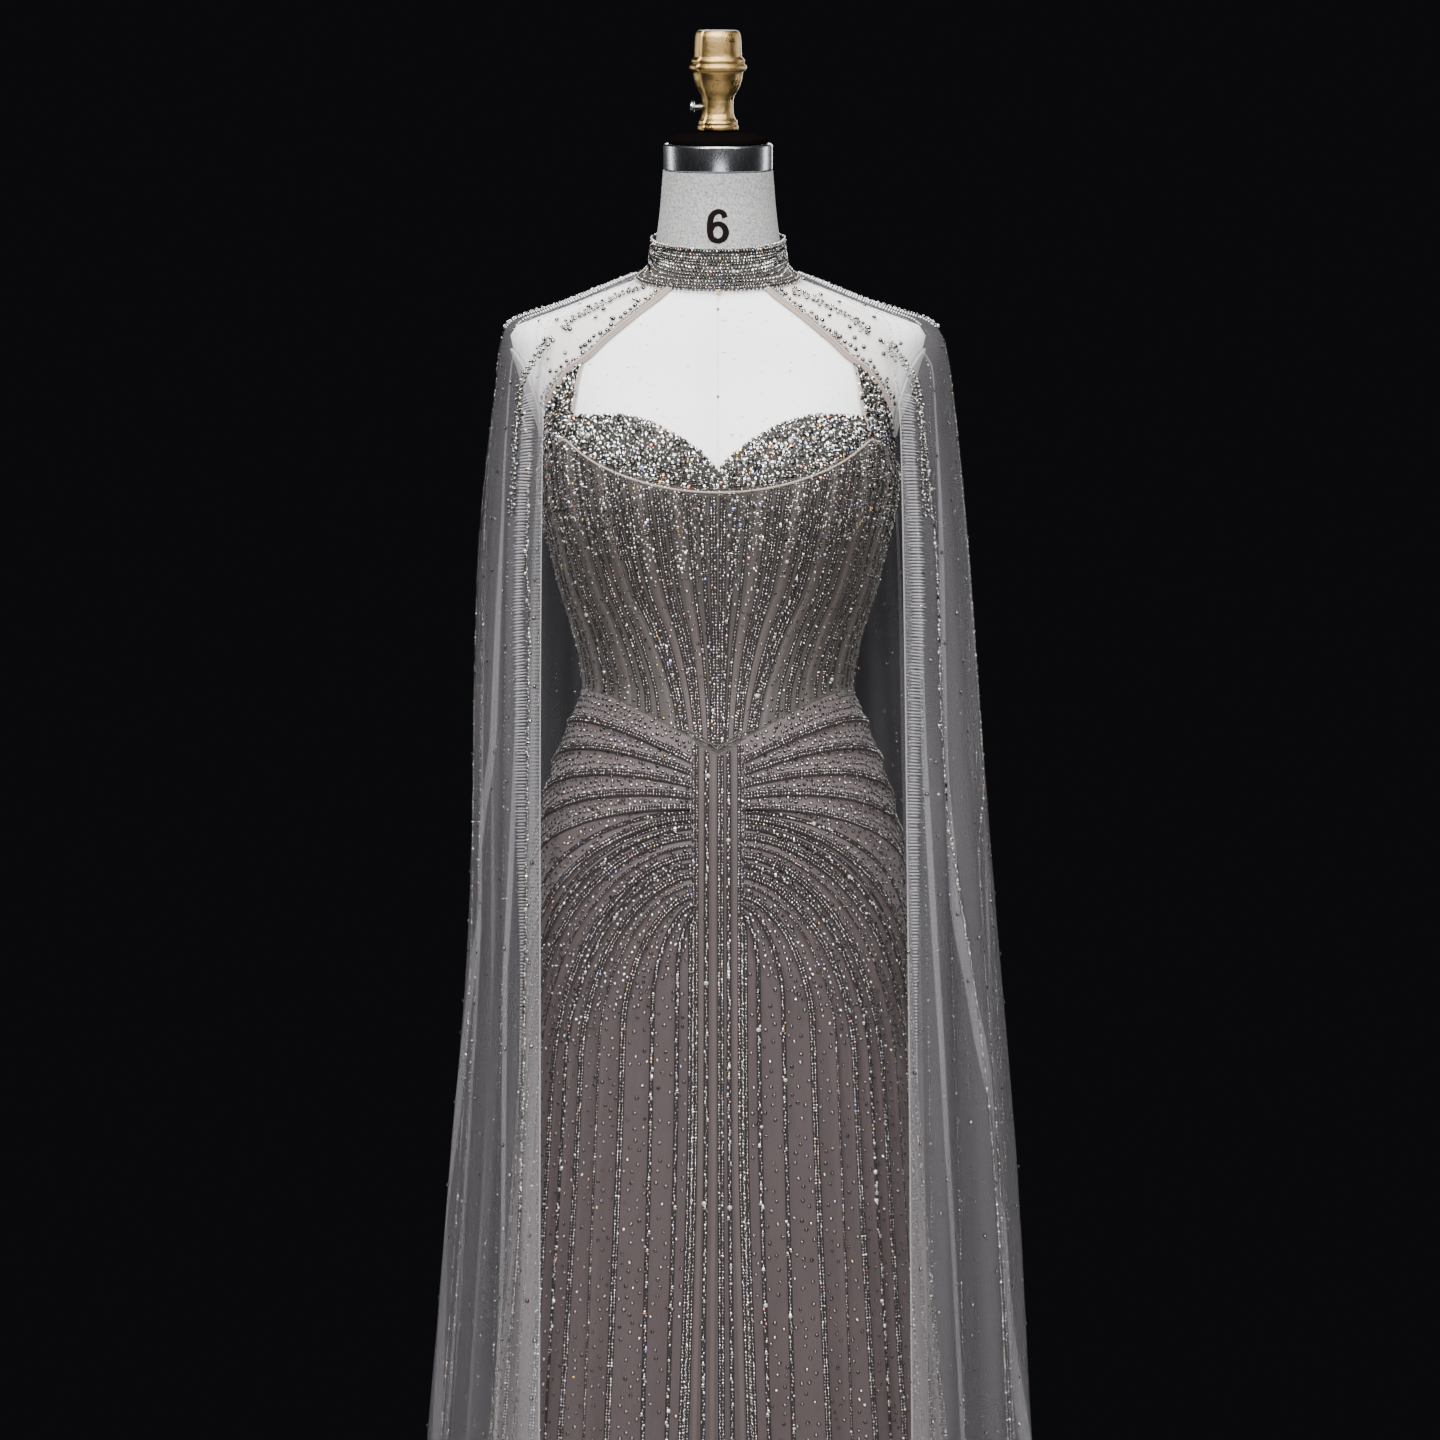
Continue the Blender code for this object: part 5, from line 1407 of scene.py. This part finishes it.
# %% Centre strip and backs
turn, height = patch(lambda h: 2 * FRONT - strip_edge(h), strip_edge, constant(HEM_HEIGHT),
                     under_basque, 16, 120, skirt_surface)
skirt["strip"] = cloth_grid(skirt_surface, turn, height, CLOTH_FACE)
sew("skirt_strip_cloth", skirt["strip"], centre_strip_with_painted_shade, "beaded_cloth", ["skirt_centre_strip"],
    turned_hem=True)
for side, word in SIDES:
    turn, height = patch(constant(SIDE), constant(BACK), constant(HEM_HEIGHT), under_basque, 66,
                         120, skirt_surface)
    crease = 0.0009 * smooth((0.95 - height) / 0.3) * np.sin(turn * 34 + 3 * height)
    skirt[f"back_{word}"] = cloth_grid(skirt_surface, turn, height, CLOTH_FACE + crease, side)
    sew(f"skirt_back_{word}_cloth", skirt[f"back_{word}"], skirt_satin, "beaded_cloth",
        [f"skirt_back_{word}"], turned_hem=True)
for number, share in enumerate((0.145, 0.42, 0.87)):
    point, out = path_on(skirt["strip"], [share, share], [0, 0.997], 200)
    ribbon(f"skirt_strip_channel_{number + 1}", point, out, 0.004, 0.0006, channel_satin,
           "beaded_cloth")
for word in ("left", "right"):
    for number, (low, high, reach) in enumerate(((0.01, 0.03, 0.9), (0.028, 0.012, 0.75))):
        cloth = bodice[f"bodice_front_{word}"]
        point, out = path_on(cloth, [0, reach / 2, reach], [low, high, low], 60)
        ribbon(f"basque_{word}_edge_{number + 1}", point, out, 0.0015, 0.0014, channel_satin,
               "binding")

# %% [markdown]
# ## The cape
#
# Each half of the cape is a length of net that falls free to the floor. Net is too light for sharp
# folds: it has long soft ones with finer ripples between. Where it folds back on itself two layers
# show, which is most of what the eye reads as net. So the front edge is turned under, and real
# pleats are laid in, three layers thick.

# %% Ripples and pleats
CAPE_RIPPLES = (  # ripples round the half, phase, depth, and how they lean
    (19, 0.6, 0.0016, 2.1), (31, 2.2, 0.0011, -3.3), (47, 4, 0.0006, 1.7))
LAYER = 0.0008                  # between the layers of a pleat
TURNED_UNDER = {  # height, how much of the front edge is turned under
    "right": ((0, 0.036), (0.4, 0.03), (1.04, 0.015), (1.33, 0.008), (1.42, 0.004)),
    "left": ((0, 0.03), (0.4, 0.026), (0.85, 0.02), (1.04, 0.014), (1.33, 0.008), (1.42, 0.004))}
CAPE_PLEATS = {  # half width at the hem, then its places as height and turn
    "right": (
        (0.0035, ((0, -40), (0.571, -38), (0.8, -33), (1.04, -36), (1.25, -34), (1.42, -30))),
        (0.0065, ((0, 4), (0.5, 1), (0.8, -5), (1, -22), (1.2, -24), (1.42, -20))),
        (0.003, ((0, 26), (0.6, 28), (1.1, 22), (1.42, 18))),
        (0.004, ((0, 48), (0.7, 44), (1.42, 42))),
        (0.003, ((0, 70), (0.8, 72), (1.42, 66)))),
    "left": (
        (0.0035, ((0, -35), (0.434, -38.4), (0.654, -41.7), (0.84, -42), (1, -42), (1.42, -38))),
        (0.007, ((0, 3), (0.375, -7), (0.5865, -14), (0.702, -23), (0.859, -31), (0.98, -32),
                 (1.2, -27), (1.42, -22))),
        (0.003, ((0, 22), (0.6, 14), (1.1, 6), (1.42, 2))),
        (0.004, ((0, 45), (0.7, 50), (1.42, 46))),
        (0.003, ((0, 68), (0.8, 70), (1.42, 68))))}


def pleated(plain, turned, pleats):
    """The cape's net with its front edge turned under and laid in pleats of three layers.

    The net's way round is a list of stations: it walks to one, turns sharply, walks back to the
    next and turns again. Each layer lies a little under the one before.
    """
    rows = len(plain["height"])
    level = plain["height"][:, 30]
    round_it = lengths(plain["point"], 1)[:, -1]
    opening = smooth((1.38 - level) / 0.5) * 0.9 + 0.1
    stations = [(np.interp(level, *zip(*turned)) / round_it, -1.5), (0 * level, -0.5)]
    for half_width, places in pleats:
        turn = np.radians(np.interp(level, *zip(*places)))
        start = plain["turn"][:, 0]
        middle = (turn - start) / (plain["turn"][:, -1] - start)
        half = half_width * opening / round_it
        stations += [(middle + half, -0.5), (middle - half, -1.5)]
    stations.append((0 * level + 1, 0))
    shares, lifts = [], []
    for number, (here, there) in enumerate(zip(stations, stations[1:])):
        steps = np.arange(8 if number % 2 == 0 else 22) / (8 if number % 2 == 0 else 22)
        eased = (1 - np.cos(math.pi * steps)) / 2
        shares.append(here[0][:, None] + (there[0] - here[0])[:, None] * eased)
        lifts.append((here[1] + (there[1] - here[1]) * steps) + 0 * shares[-1])
    share = np.hstack(shares + [np.ones((rows, 1))])
    lift = np.hstack(lifts + [np.zeros((rows, 1))]) * LAYER
    up = np.linspace(0, 1, rows)[:, None] + 0 * share
    point, out = at(plain, share.ravel(), up.ravel())
    point = (point + out * lift.reshape(-1, 1)).reshape(*share.shape, 3)
    return {"point": point, "out": facing(point, out.reshape(point.shape)), "share": share}


print("pleats:", {word: len(pleats) for word, pleats in CAPE_PLEATS.items()})

# %% [markdown]
# At the shoulder and down beside the front edge the net is drawn up on a running stitch. A bump in
# the finish would vanish from the side, so each gather is a short raised thread across the stitch.

# %% Gathers


def gathers(name, paths, made, slot, pitch=0.0028):
    """Short raised threads across each path, shorter toward its end, where the fullness runs out."""
    grids = []
    for point, out, width in paths:
        rows = strand(point, out, pitch, wander=0)
        along = np.gradient(rows[:, :3], axis=0)
        along /= np.linalg.norm(along, axis=1, keepdims=True)
        aside = np.cross(rows[:, 3:], along)
        shares = np.linspace(-1, 1, 5)[:, None]
        runs_out = 0.08 + 0.92 * smooth(np.linspace(1, 0, len(rows)) / 0.45)[:, None]
        reach = aside * (width / 2 * runs_out * random.uniform(0.7, 1.15, (len(rows), 1)))
        taper = 1 - 0.8 * shares ** 4
        lines = [rows[:, None, :3] + reach[:, None] * shares + along[:, None] * (away * taper)
                 + rows[:, None, 3:] * (0.0009 * (1 - shares ** 2) + rise)
                 for away, rise in ((-0.0007, 0), (0, 0.0005), (0.0007, 0))]
        grids.append(np.stack(lines, axis=1))
    corners = np.vstack([grid.reshape(-1, 3) for grid in grids])
    faces = [tuple(15 * k + 5 * layer + j + n for n in (0, 1, 6, 5))
             for k in range(len(corners) // 15) for layer in range(2) for j in range(4)]
    return settle(new_object(name, corners, faces, [made]), slot)


GATHERS_WIDTH, TRIM_WIDTH = 0.015, 0.011
GATHERS_LINE = (  # height, how far across on the left and on the right, from the front
    (1.32, 0.171, 0.171), (1.298, 0.1705, 0.1705), (1.2597, 0.173, 0.173),
    (1.22, 0.1765, 0.1765), (1.13, 0.18, 0.179), (1.04, 0.179, 0.178),
    (0.92, 0.176, 0.175), (0.8, 0.1765, 0.1755), (0.7, 0.178, 0.177))
SHOULDER = {  # height, turn of the trim and of the row of beads, in degrees
    "left": ((1.42, -13, -6), (1.406, -14, -6), (1.393, -13, -5),
             (1.379, -12, -5), (1.3715, -9, -5)),
    "right": ((1.419, -14, -9), (1.402, -14, -8), (1.388, -13, -7),
              (1.378, -12, -6), (1.3715, -9, -5))}
print("gathers end at", GATHERS_LINE[-1][0], "m")

# %% Two halves of net
cape = {}
levels = np.interp(np.linspace(0, len(CAPE_ROWS) - 1, 112), range(len(CAPE_ROWS)), CAPE_ROWS)
for side, word in SIDES:
    along, level = np.meshgrid(np.linspace(0, 1, 161) ** 1.08, levels / CAPE_ROWS[-1])
    height = level * CAPE_LEAVES_YOKE
    for _ in range(12):
        start = cape_front(height, side)
        turn = start + (BACK - CAPE_SLIT - start) * along
        height = CAPE_HEM_HEIGHT + level * (under_collar(turn) - CAPE_HEM_HEIGHT)
    turn = turn + 2 * CAPE_SLIT * (1 - along)
    place, spread, depth = CAPE_FOLDS.T[:, :, None, None]
    folds = (np.exp(-((along - place) / spread) ** 2 / 2) * depth).sum(axis=0)
    grow = smooth((1.3 - height) / 1.3) ** 0.8
    point, out = frame_on(cape_surface, mirrored(turn, side), height)
    sideways = out * np.array([1, 1, 0])
    moved = grow * (folds - 0.5 * CAPE_FOLDS[:, 2].mean())
    hang = smooth((1.33 - height) / 0.25)
    for count, phase, depth, lean in CAPE_RIPPLES:
        moved += hang * depth * np.sin(count * math.pi * along + phase + side + lean * height)
    point = point + sideways * moved[..., None] + out * CAPE_FACE
    cape[word] = {"point": point, "out": facing(point, out), "turn": turn, "height": height}
    net = pleated(cape[word], TURNED_UNDER[word], CAPE_PLEATS[word])
    piece = sew(f"cape_{word}_net", net, cape_net, "net", [f"cape_{word}"])
    from_edge = net["share"] * lengths(cape[word]["point"], 1)[:, -1:]
    ribbed = np.exp(-(from_edge / 0.028) ** 2) * smooth((net["point"][..., 2] - 0.55) / 0.5)
    piece.data.attributes.new("gathered", "FLOAT", "POINT").data.foreach_set(
        "value", (0.75 * ribbed).ravel())
    for name, across, up in (("front", [0, 0, 0], [0, 0.5, 0.86]),
                             ("lower", [0, 0.5, 1], [0, 0, 0])):
        point, out = path_on(cape[word], across, up, 300)
        ribbon(f"cape_{word}_{name}_hem", point, out, 0.0014, 0.0006, net_hem, "net")
    places = [(side * (left if side > 0 else right), level) for level, left, right in GATHERS_LINE]
    path = path_on(cape[word], *seen(cape[word], places), 400)
    gathers(f"cape_{word}_gathers", [(*path, GATHERS_WIDTH)], cape_gathers, "net")
    trims = []
    for forward in (0, 11):
        places = [(level, trim - forward) for level, trim, _ in SHOULDER[word]]
        trims.append((*path_on(cape[word], *find(cape[word], places), 400), TRIM_WIDTH))
    gathers(f"cape_{word}_trim", trims, trim_net, "net", 0.0024)

# %% [markdown]
# ## Beading
#
# All the beads go on last. The collar is solid with them, the yoke has rows and single stones, the
# bust is packed, and rows fan out along the skirt's tucks to the hem with single stones between.
# First come the kinds of row, and the flat dark tape under each, a sheet of painted shade
# which keeps a dark line beside the bright one.

# %% Kinds of row
SHADE_TAPE_WIDTHS = {"twin": 0.006, "mixed": 0.0042, "single": 0.0032, "thin": 0.0024}


def crystals(point, out, pitch=0.0031, spill=0.0006):
    """A row of large and small stones, as groups of (form, places, radius, spread)."""
    rows = strand(point, out, pitch, wander=spill)
    size = random.random(len(rows))
    return [("dome", rows[size < 0.5], 0.0013, 0.15), ("stone", rows[size > 0.86], 0.0022, 0.1),
            ("dome", rows[(size >= 0.5) & (size <= 0.86)], 0.0018, 0.12)]


def row_of(kind, point, out):
    """A row of beads of one kind, as groups of (form, places, radius, spread)."""
    if kind == "mixed":
        return crystals(point, out)
    if kind == "twin":
        return [("seed", twin(point, out), SEED_RADIUS, 0.1)]
    if kind == "single":
        return [("seed", strand(point, out, 0.003), 0.0014, 0.15)]
    return [("seed", strand(point, out, 0.0026), 0.0012, 0.1)]


def shade_tapes(name, paths, made, slot):
    """The flat dark tapes under rows of beads, painted shade beside each row, as one mesh."""
    corners, faces, base = [], [], 0
    for point, out, width in paths:
        aside = np.cross(out, np.gradient(point, axis=0))
        aside *= width / 2 / np.linalg.norm(aside, axis=-1, keepdims=True)
        lifted = point + out * 0.0003
        corners.append(np.stack([lifted - aside, lifted + out * 0.0003, lifted + aside], axis=1))
        faces += [tuple(base + k for k in face) for face in grid_faces(len(point), 3)]
        base += 3 * len(point)
    piece = new_object(name, np.vstack([grid.reshape(-1, 3) for grid in corners]), faces, [made])
    return settle(piece, slot)


print("rows:", *SHADE_TAPE_WIDTHS)

# %% [markdown]
# The collar is worked solid, in level rows that change from row to row. Picots hang below it, a rim
# of round beads stands on its edge, and one amber drop marks the centre.

# %% The collar's beads
COLLAR_ROWS = (  # share up the collar, form, radius, how far it stands out
    (0.03, "round", 0.0012, 0), (0.105, "dome", 0.0014, 0), (0.185, "stone", 0.0016, 0),
    (0.265, "dome", 0.0013, 0.0003), (0.345, "dome", 0.0013, 0.0003), (0.43, "stone", 0.0018, 0),
    (0.52, "stone", 0.0018, 0), (0.605, "dome", 0.0013, 0.0003), (0.685, "dome", 0.0014, 0.0003),
    (0.77, "stone", 0.0017, 0), (0.86, "dome", 0.0015, 0), (0.95, "round", 0.0014, 0))
rows = []
for share, form, radius, proud in COLLAR_ROWS:
    point, out = path_on(collar, [0, 0.5, 1], [share] * 3, 400)
    rows.append((form, strand(point + out * proud, out, radius * 1.95, wander=0.00015), radius, 0.08))
rim, rim_out = path_on(collar, [0, 0.5, 1], [1] * 3, 400)
set_beads("collar_beads", rows, MIXED, DEEP_SHARES, lean=9)
set_beads("collar_rim", [("round", strand(rim + [[0, 0, 0.0006]], rim_out, 0.0027), 0.0012, 0.1)],
          [clear_stone, pearl_seed], [0.5, 0.5], lean=10)
drop, drop_out = path_on(collar, [0.5, 0.5], [0, 0.01], 2)
set_beads("collar_drop", [("round", np.hstack([drop[:1] - [[0, 0, 0.0026]], drop_out[:1]]), 0.0021,
                           0)], [amber_stone], [1], lean=0)
picot, picot_out = path_on(collar, [0.2, 0.5, 0.8], [0, 0, 0], 400)
set_beads("collar_picot", [("round", strand(picot - [[0, 0, 0.0014]], picot_out, 0.0036), 0.001,
                            0.1)], [pearl_seed], [1])

# %% [markdown]
# A row of small stones follows the keyhole, and another runs from the collar over the net and on
# down the cape, with loose stones on both sides that hide its thread.

# %% The yoke's beads
YOKE_ROWS = {  # places as seen from the front, on the yoke and then on the cape
    "left": [(0.0665, 1.4125), (0.0956, 1.398), (0.126, 1.3799), (0.1373, 1.3695)],
    "right": [(-0.064, 1.42), (-0.0932, 1.4043), (-0.1233, 1.3893), (-0.1404, 1.3733)]}
CAPE_YOKE_ROWS = {
    "left": [(0.14, 1.368), (0.1505, 1.3592), (0.1599, 1.3516), (0.1731, 1.3347),
             (0.1796, 1.314), (0.1825, 1.297), (0.1845, 1.25), (0.188, 1.2)],
    "right": [(-0.144, 1.37), (-0.1497, 1.3668), (-0.1666, 1.347), (-0.1779, 1.3272),
              (-0.1798, 1.3065), (-0.1818, 1.2933), (-0.184, 1.25), (-0.1865, 1.2)]}
for side, word in SIDES:
    yoke, net = bodice[f"yoke_{word}"], cape[word]
    groups = []
    level = np.linspace(1.3, 1.406, 200)
    beside = turned_on(form_surface, binding_path(level), level, 0.0055)
    point, out = frame_on(form_surface, mirrored(beside, side), level)
    point = point + out * (NET_FACE + 0.0015 * smooth((1.345 - level) / 0.012)[:, None])
    groups.append(("dome", strand(point, out, 0.0031), 0.0015, 0.12))
    groups.append(("set", strand(point, out, 0.0056, aside=-0.0036 * side, wander=0.0013), 0.0022,
                   0.12))
    for cloth, places in ((yoke, YOKE_ROWS[word]), (net, CAPE_YOKE_ROWS[word])):
        point, out = path_on(cloth, *seen(cloth, places), 300)
        groups.append(("dome", strand(point, out, 0.0031, wander=0.0006), 0.0014, 0.12))
        for aside, pitch, radius in ((0.0028, 0.0044, 0.0019), (-0.0026, 0.006, 0.0017)):
            groups.append(("set", strand(point, out, pitch, aside=aside, wander=0.0008), radius,
                           0.12))
    point, out = path_on(net, *find(net, [(level, turn) for level, _, turn in SHOULDER[word]]))
    groups.append(("round", strand(point, out, 0.0027), 0.0012, 0.1))
    groups.append(("round", strand(point, out, 0.0052, aside=0.0028 * side, wander=0.0012), 0.0016,
                   0.12))
    groups.append(("set", apart(scatter(yoke, 0.0135, edge=0.03), 0.011), 0.0022, 0.1))
    groups.append(("set", scatter(net, 0.015, lambda a, u: u > 0.945), 0.0022, 0.1))
    set_beads(f"yoke_{word}_beads", groups, [silver_seed, grey_stone, clear_stone, dark_setting_of_painted_shade],
              [0.35, 0.4, 0.25, 0], lean=12)

# %% [markdown]
# The bust is packed so close that no cloth shows: big stones first, then middle ones in the gaps,
# then small beads in what is left. Each kind is scattered at random and kept clear of the last.

# %% Beads of the cups and wings
for word in ("left", "right"):
    groups = []
    for name in ("cup", "wing"):
        cloth = bodice[f"{name}_{word}"]
        big = scatter(cloth, 0.0056, edge=0.012)
        middle = apart(scatter(cloth, 0.0032), 0.003, big)
        taken = np.vstack([big, middle])
        small = apart(scatter(cloth, 0.0019), 0.0018, taken)
        groups += [("stone", big, 0.0026, 0.2), ("stone", middle, 0.0018, 0.15),
                   ("dome", small, 0.0011, 0.15)]
    edge, edge_out = path_on(bodice[f"cup_{word}"], [0, 0.5, 1], [0.985] * 3, 200)
    groups.append(("stone", strand(edge, edge_out, 0.0033), 0.0017, 0.15))
    set_beads(f"cup_{word}_beads", groups, MIXED, BRIGHT_SHARES, lean=24)

# %% [markdown]
# Rows run down the corset between its bones. Toward the bust the spaces between them fill up, so
# that the stones seem to spill out of the cups.

# %% The bodice's beads
BODICE_ROWS = {  # share across the panel, and how the row is made
    "bodice_front": (
        (0.03, "twin"), (0.12, "mixed"), (0.22, "single"), (0.41, "single"), (0.49, "twin"),
        (0.57, "single"), (0.76, "single"), (0.84, "mixed"), (0.93, "twin")),
    "bodice_side_front": (
        (0.09, "single"), (0.15, "twin"), (0.21, "single"), (0.35, "single"), (0.42, "twin"),
        (0.49, "mixed"), (0.63, "single"), (0.7, "twin"), (0.77, "single"), (0.91, "mixed"),
        (0.97, "twin")),
    "bodice_back": (
        (0.08, "twin"), (0.16, "single"), (0.33, "twin"), (0.42, "single"), (0.58, "twin"),
        (0.67, "single"), (0.83, "twin"), (0.92, "single")),
}
for word in ("left", "right"):
    for name, shares in BODICE_ROWS.items():
        cloth = bodice[f"{name}_{word}"]
        groups, paths = [], []
        for share, kind in shares:
            sway = 0.006 * math.sin(share * 40)
            point, out = path_on(cloth, [share, share + sway, share], [0.01, 0.5, 0.97])
            groups += row_of(kind, point, out)
            paths.append((point, out, SHADE_TAPE_WIDTHS[kind]))
        shade_tapes(f"{name}_{word}_tapes", paths, tape_of_painted_shade, "beaded_cloth")
        if name == "bodice_front":
            groups += row_of("twin", *path_on(cloth, [0, 0.45, 0.9], [0.02, 0.02, 0.02]))
        seeds = np.vstack([rows for _, rows, _, _ in groups])
        packed = scatter(cloth, 0.0028, lambda a, u: smooth((u - 0.56) / 0.24))
        packed = apart(packed, 0.0023, seeds)
        loose = scatter(cloth, 0.0056, lambda a, u: 0.5 + 0.5 * u)
        loose = apart(loose, 0.003, np.vstack([seeds, packed]))
        groups += [("dome", packed[::2], 0.0015, 0.2), ("stone", packed[1::2], 0.0017, 0.2),
                   ("set", loose, 0.0018, 0.12)]
        set_beads(f"{name}_{word}_beads", groups, MIXED, DEEP_SHARES, lean=14)

# %% [markdown]
# Each tuck carries a row along its crest, and stones are set loose in the valleys: many at the hip,
# fewer and quieter toward the hem.

# %% Beads of the skirt's fronts
HEM_SHARE = 0.004
HIP_ROWS_OF_BEADS = (1, 2, 3, 4, 4.98)
FALL_ROWS_OF_BEADS = {5.5: "mixed", 6: "twin", 6.5: "single", 7: "mixed", 8: "twin", 9: "thin",
                      10: "twin", 11: "mixed", 12: "twin", 13: "thin", 14: "twin", 15: "mixed",
                      16: "mixed", 17: "twin"}
for word in ("left", "right"):
    hip, fall = skirt[f"hip_{word}"], skirt[f"fall_{word}"]
    rows, between, paths = [], [], []
    for number in HIP_ROWS_OF_BEADS:
        share = number / SIDE_RIDGES
        point, out = path_on(hip, [share, share], [0.01, 0.995])
        rows += row_of("twin", point, out)
        paths.append((point, out, SHADE_TAPE_WIDTHS["twin"]))
        for step, pitch in ((0.22, 0.0054), (0.42, 0.0046), (0.62, 0.0056), (0.82, 0.0048)):
            share = (number - step) / SIDE_RIDGES
            point, out = path_on(hip, [share, share], [0.02, 0.98])
            between.append(strand(point, out, pitch, wander=0.0007))
    span = len(DRAPE) - 1 - SIDE_RIDGES
    for number, kind in FALL_ROWS_OF_BEADS.items():
        share = min((number - SIDE_RIDGES) / span, 0.992)
        point, out = path_on(fall, [share, share], [0.004, 0.998], 500)
        rows += row_of(kind, point, out)
        paths.append((point[::2], out[::2], SHADE_TAPE_WIDTHS[kind]))
    shade_tapes(f"skirt_front_{word}_tapes", paths, tape_of_painted_shade, "beaded_cloth")
    for number in range(SIDE_RIDGES, len(DRAPE) - 1):
        share = (number + 0.5 - SIDE_RIDGES) / span
        point, out = path_on(fall, [share, share], [0.01, 0.4], 300)
        between.append(strand(point, out, 0.0052, wander=0.0008))
    strands = np.vstack([group[1] for group in rows])
    between = apart(np.vstack(between), 0.0033, strands)
    near = scatter(fall, 0.0046, lambda a, u: smooth((0.46 - u) / 0.34))
    near = apart(near, 0.0031, np.vstack([strands, between]))
    far = scatter(fall, 0.0084, lambda a, u: np.clip(1 - 0.75 * (u - 0.45) / 0.55, 0, 1) * (u > 0.3))
    far = apart(far, 0.0034, np.vstack([strands, between, near]))
    hips = apart(scatter(hip, 0.0056), 0.0034, np.vstack([strands, between]))
    set_beads(f"skirt_front_{word}_strands", rows, MIXED, MIXED_SHARES, lean=5)
    set_beads(f"skirt_front_{word}_stones", [
        ("set", between, 0.0019, 0.12), ("set", near, 0.0018, 0.15), ("set", hips, 0.0017, 0.15)],
        STONES, STONE_SHARES, lean=8)
    set_beads(f"skirt_front_{word}_single_stones", [("set", far, STONE_RADIUS, 0.12)], STONES,
              QUIET_SHARES, lean=8)

# %% Beads of the strip and the backs
rows, paths = [], []
for share, kind in ((0.012, "twin"), (0.27, "mixed"), (0.55, "twin"), (0.72, "mixed"),
                    (0.985, "twin")):
    point, out = path_on(skirt["strip"], [share, share], [HEM_SHARE, 0.998], 500)
    rows += row_of(kind, point, out)
    paths.append((point[::2], out[::2], SHADE_TAPE_WIDTHS[kind]))
shade_tapes("skirt_strip_tapes", paths, tape_of_painted_shade, "beaded_cloth")
set_beads("skirt_strip_beads", rows, MIXED, MIXED_SHARES)
BACK_ROWS = ((0.03, 2), (0.11, 1), (0.2, 2), (0.31, 1), (0.42, 2), (0.53, 1), (0.64, 2), (0.75, 1),
             (0.86, 2), (0.97, 2))
for word in ("left", "right"):
    cloth = skirt[f"back_{word}"]
    seeds = []
    for share, kind in BACK_ROWS:
        point, out = path_on(cloth, [share, share], [HEM_SHARE, 0.995], 400)
        seeds.append(twin(point, out, pitch=0.003) if kind == 2 else strand(point, out, 0.0038))
    seeds = np.vstack(seeds)
    loose = apart(scatter(cloth, 0.0125, lambda a, u: 0.55 + 0.45 * u), 0.0034, seeds)
    set_beads(f"skirt_back_{word}_beads", [("seed", seeds, SEED_RADIUS, 0.1),
                                           ("set", loose, STONE_RADIUS, 0.15)],
              MIXED, MIXED_SHARES)

# %% [markdown]
# Beads on net must be light, or they would drag it. One row of stones runs down each front edge and
# ends below the hip. Fine strands carry on to the hem, with a few single stones between them.

# %% The cape's beads
CRYSTAL_STEPS = 440             # of the 600 steps down a row
CAPE_ROWS_OF_BEADS = {  # places down the cape, as height and turn in degrees
    "right": [(1.362, -39), (1.345, -35), (1.312, -32), (1.245, -40), (1.167, -40.7),
              (1.111, -42.6), (1.04, -43), (0.84, -43.8), (0.693, -45.6), (0.571, -45.8),
              (0.457, -44.3), (0.402, -44.4), (0.015, -44)],
    "left": [(1.358, -38), (1.329, -34.9), (1.291, -35.5), (1.224, -35.1), (1.145, -34.6),
             (1.04, -36.8), (0.967, -36.2), (0.902, -33), (0.862, -32.1), (0.795, -28.9),
             (0.6, -27), (0.3, -26), (0.015, -25)]}
CAPE_EDGE_BEADS = {
    "right": [(1.366, -6), (1.33, -5), (1.2, -4), (1, -6), (0.7, -10),
              (0.3, -12), (0.015, -12)],
    "left": [(1.366, -6), (1.33, -4), (1.15, -5), (1.04, -7.3), (0.905, -16.6),
             (0.849, -18.5), (0.771, -17.4), (0.4, -17), (0.015, -16)]}
for word in ("left", "right"):
    net = cape[word]
    groups, fine = [], []
    point, out = path_on(net, *find(net, CAPE_ROWS_OF_BEADS[word]), 600)
    groups += crystals(point[:CRYSTAL_STEPS], out[:CRYSTAL_STEPS], 0.004, 0.0009)
    groups.append(("seed", strand(point, out, 0.0026, wander=0.0003), 0.0011, 0.15))
    point, out = path_on(net, *find(net, CAPE_EDGE_BEADS[word]), 600)
    groups.append(("seed", strand(point, out, 0.003, wander=0.0003), 0.0009, 0.15))
    for share in (0.008, 0.05, 0.12, 0.3, 0.44, 0.58, 0.72, 0.86, 0.985):
        point, out = path_on(net, [share, share], [0.004, 0.93], 500)
        fine.append(strand(point, out, 0.0042, wander=0.0002))
    loose = scatter(net, 0.032)
    groups += [("seed", np.vstack(fine), 0.0006, 0.2), ("set", loose, 0.0019, 0.15)]
    set_beads(f"cape_{word}_beads", groups, MIXED, MIXED_SHARES, lean=12)
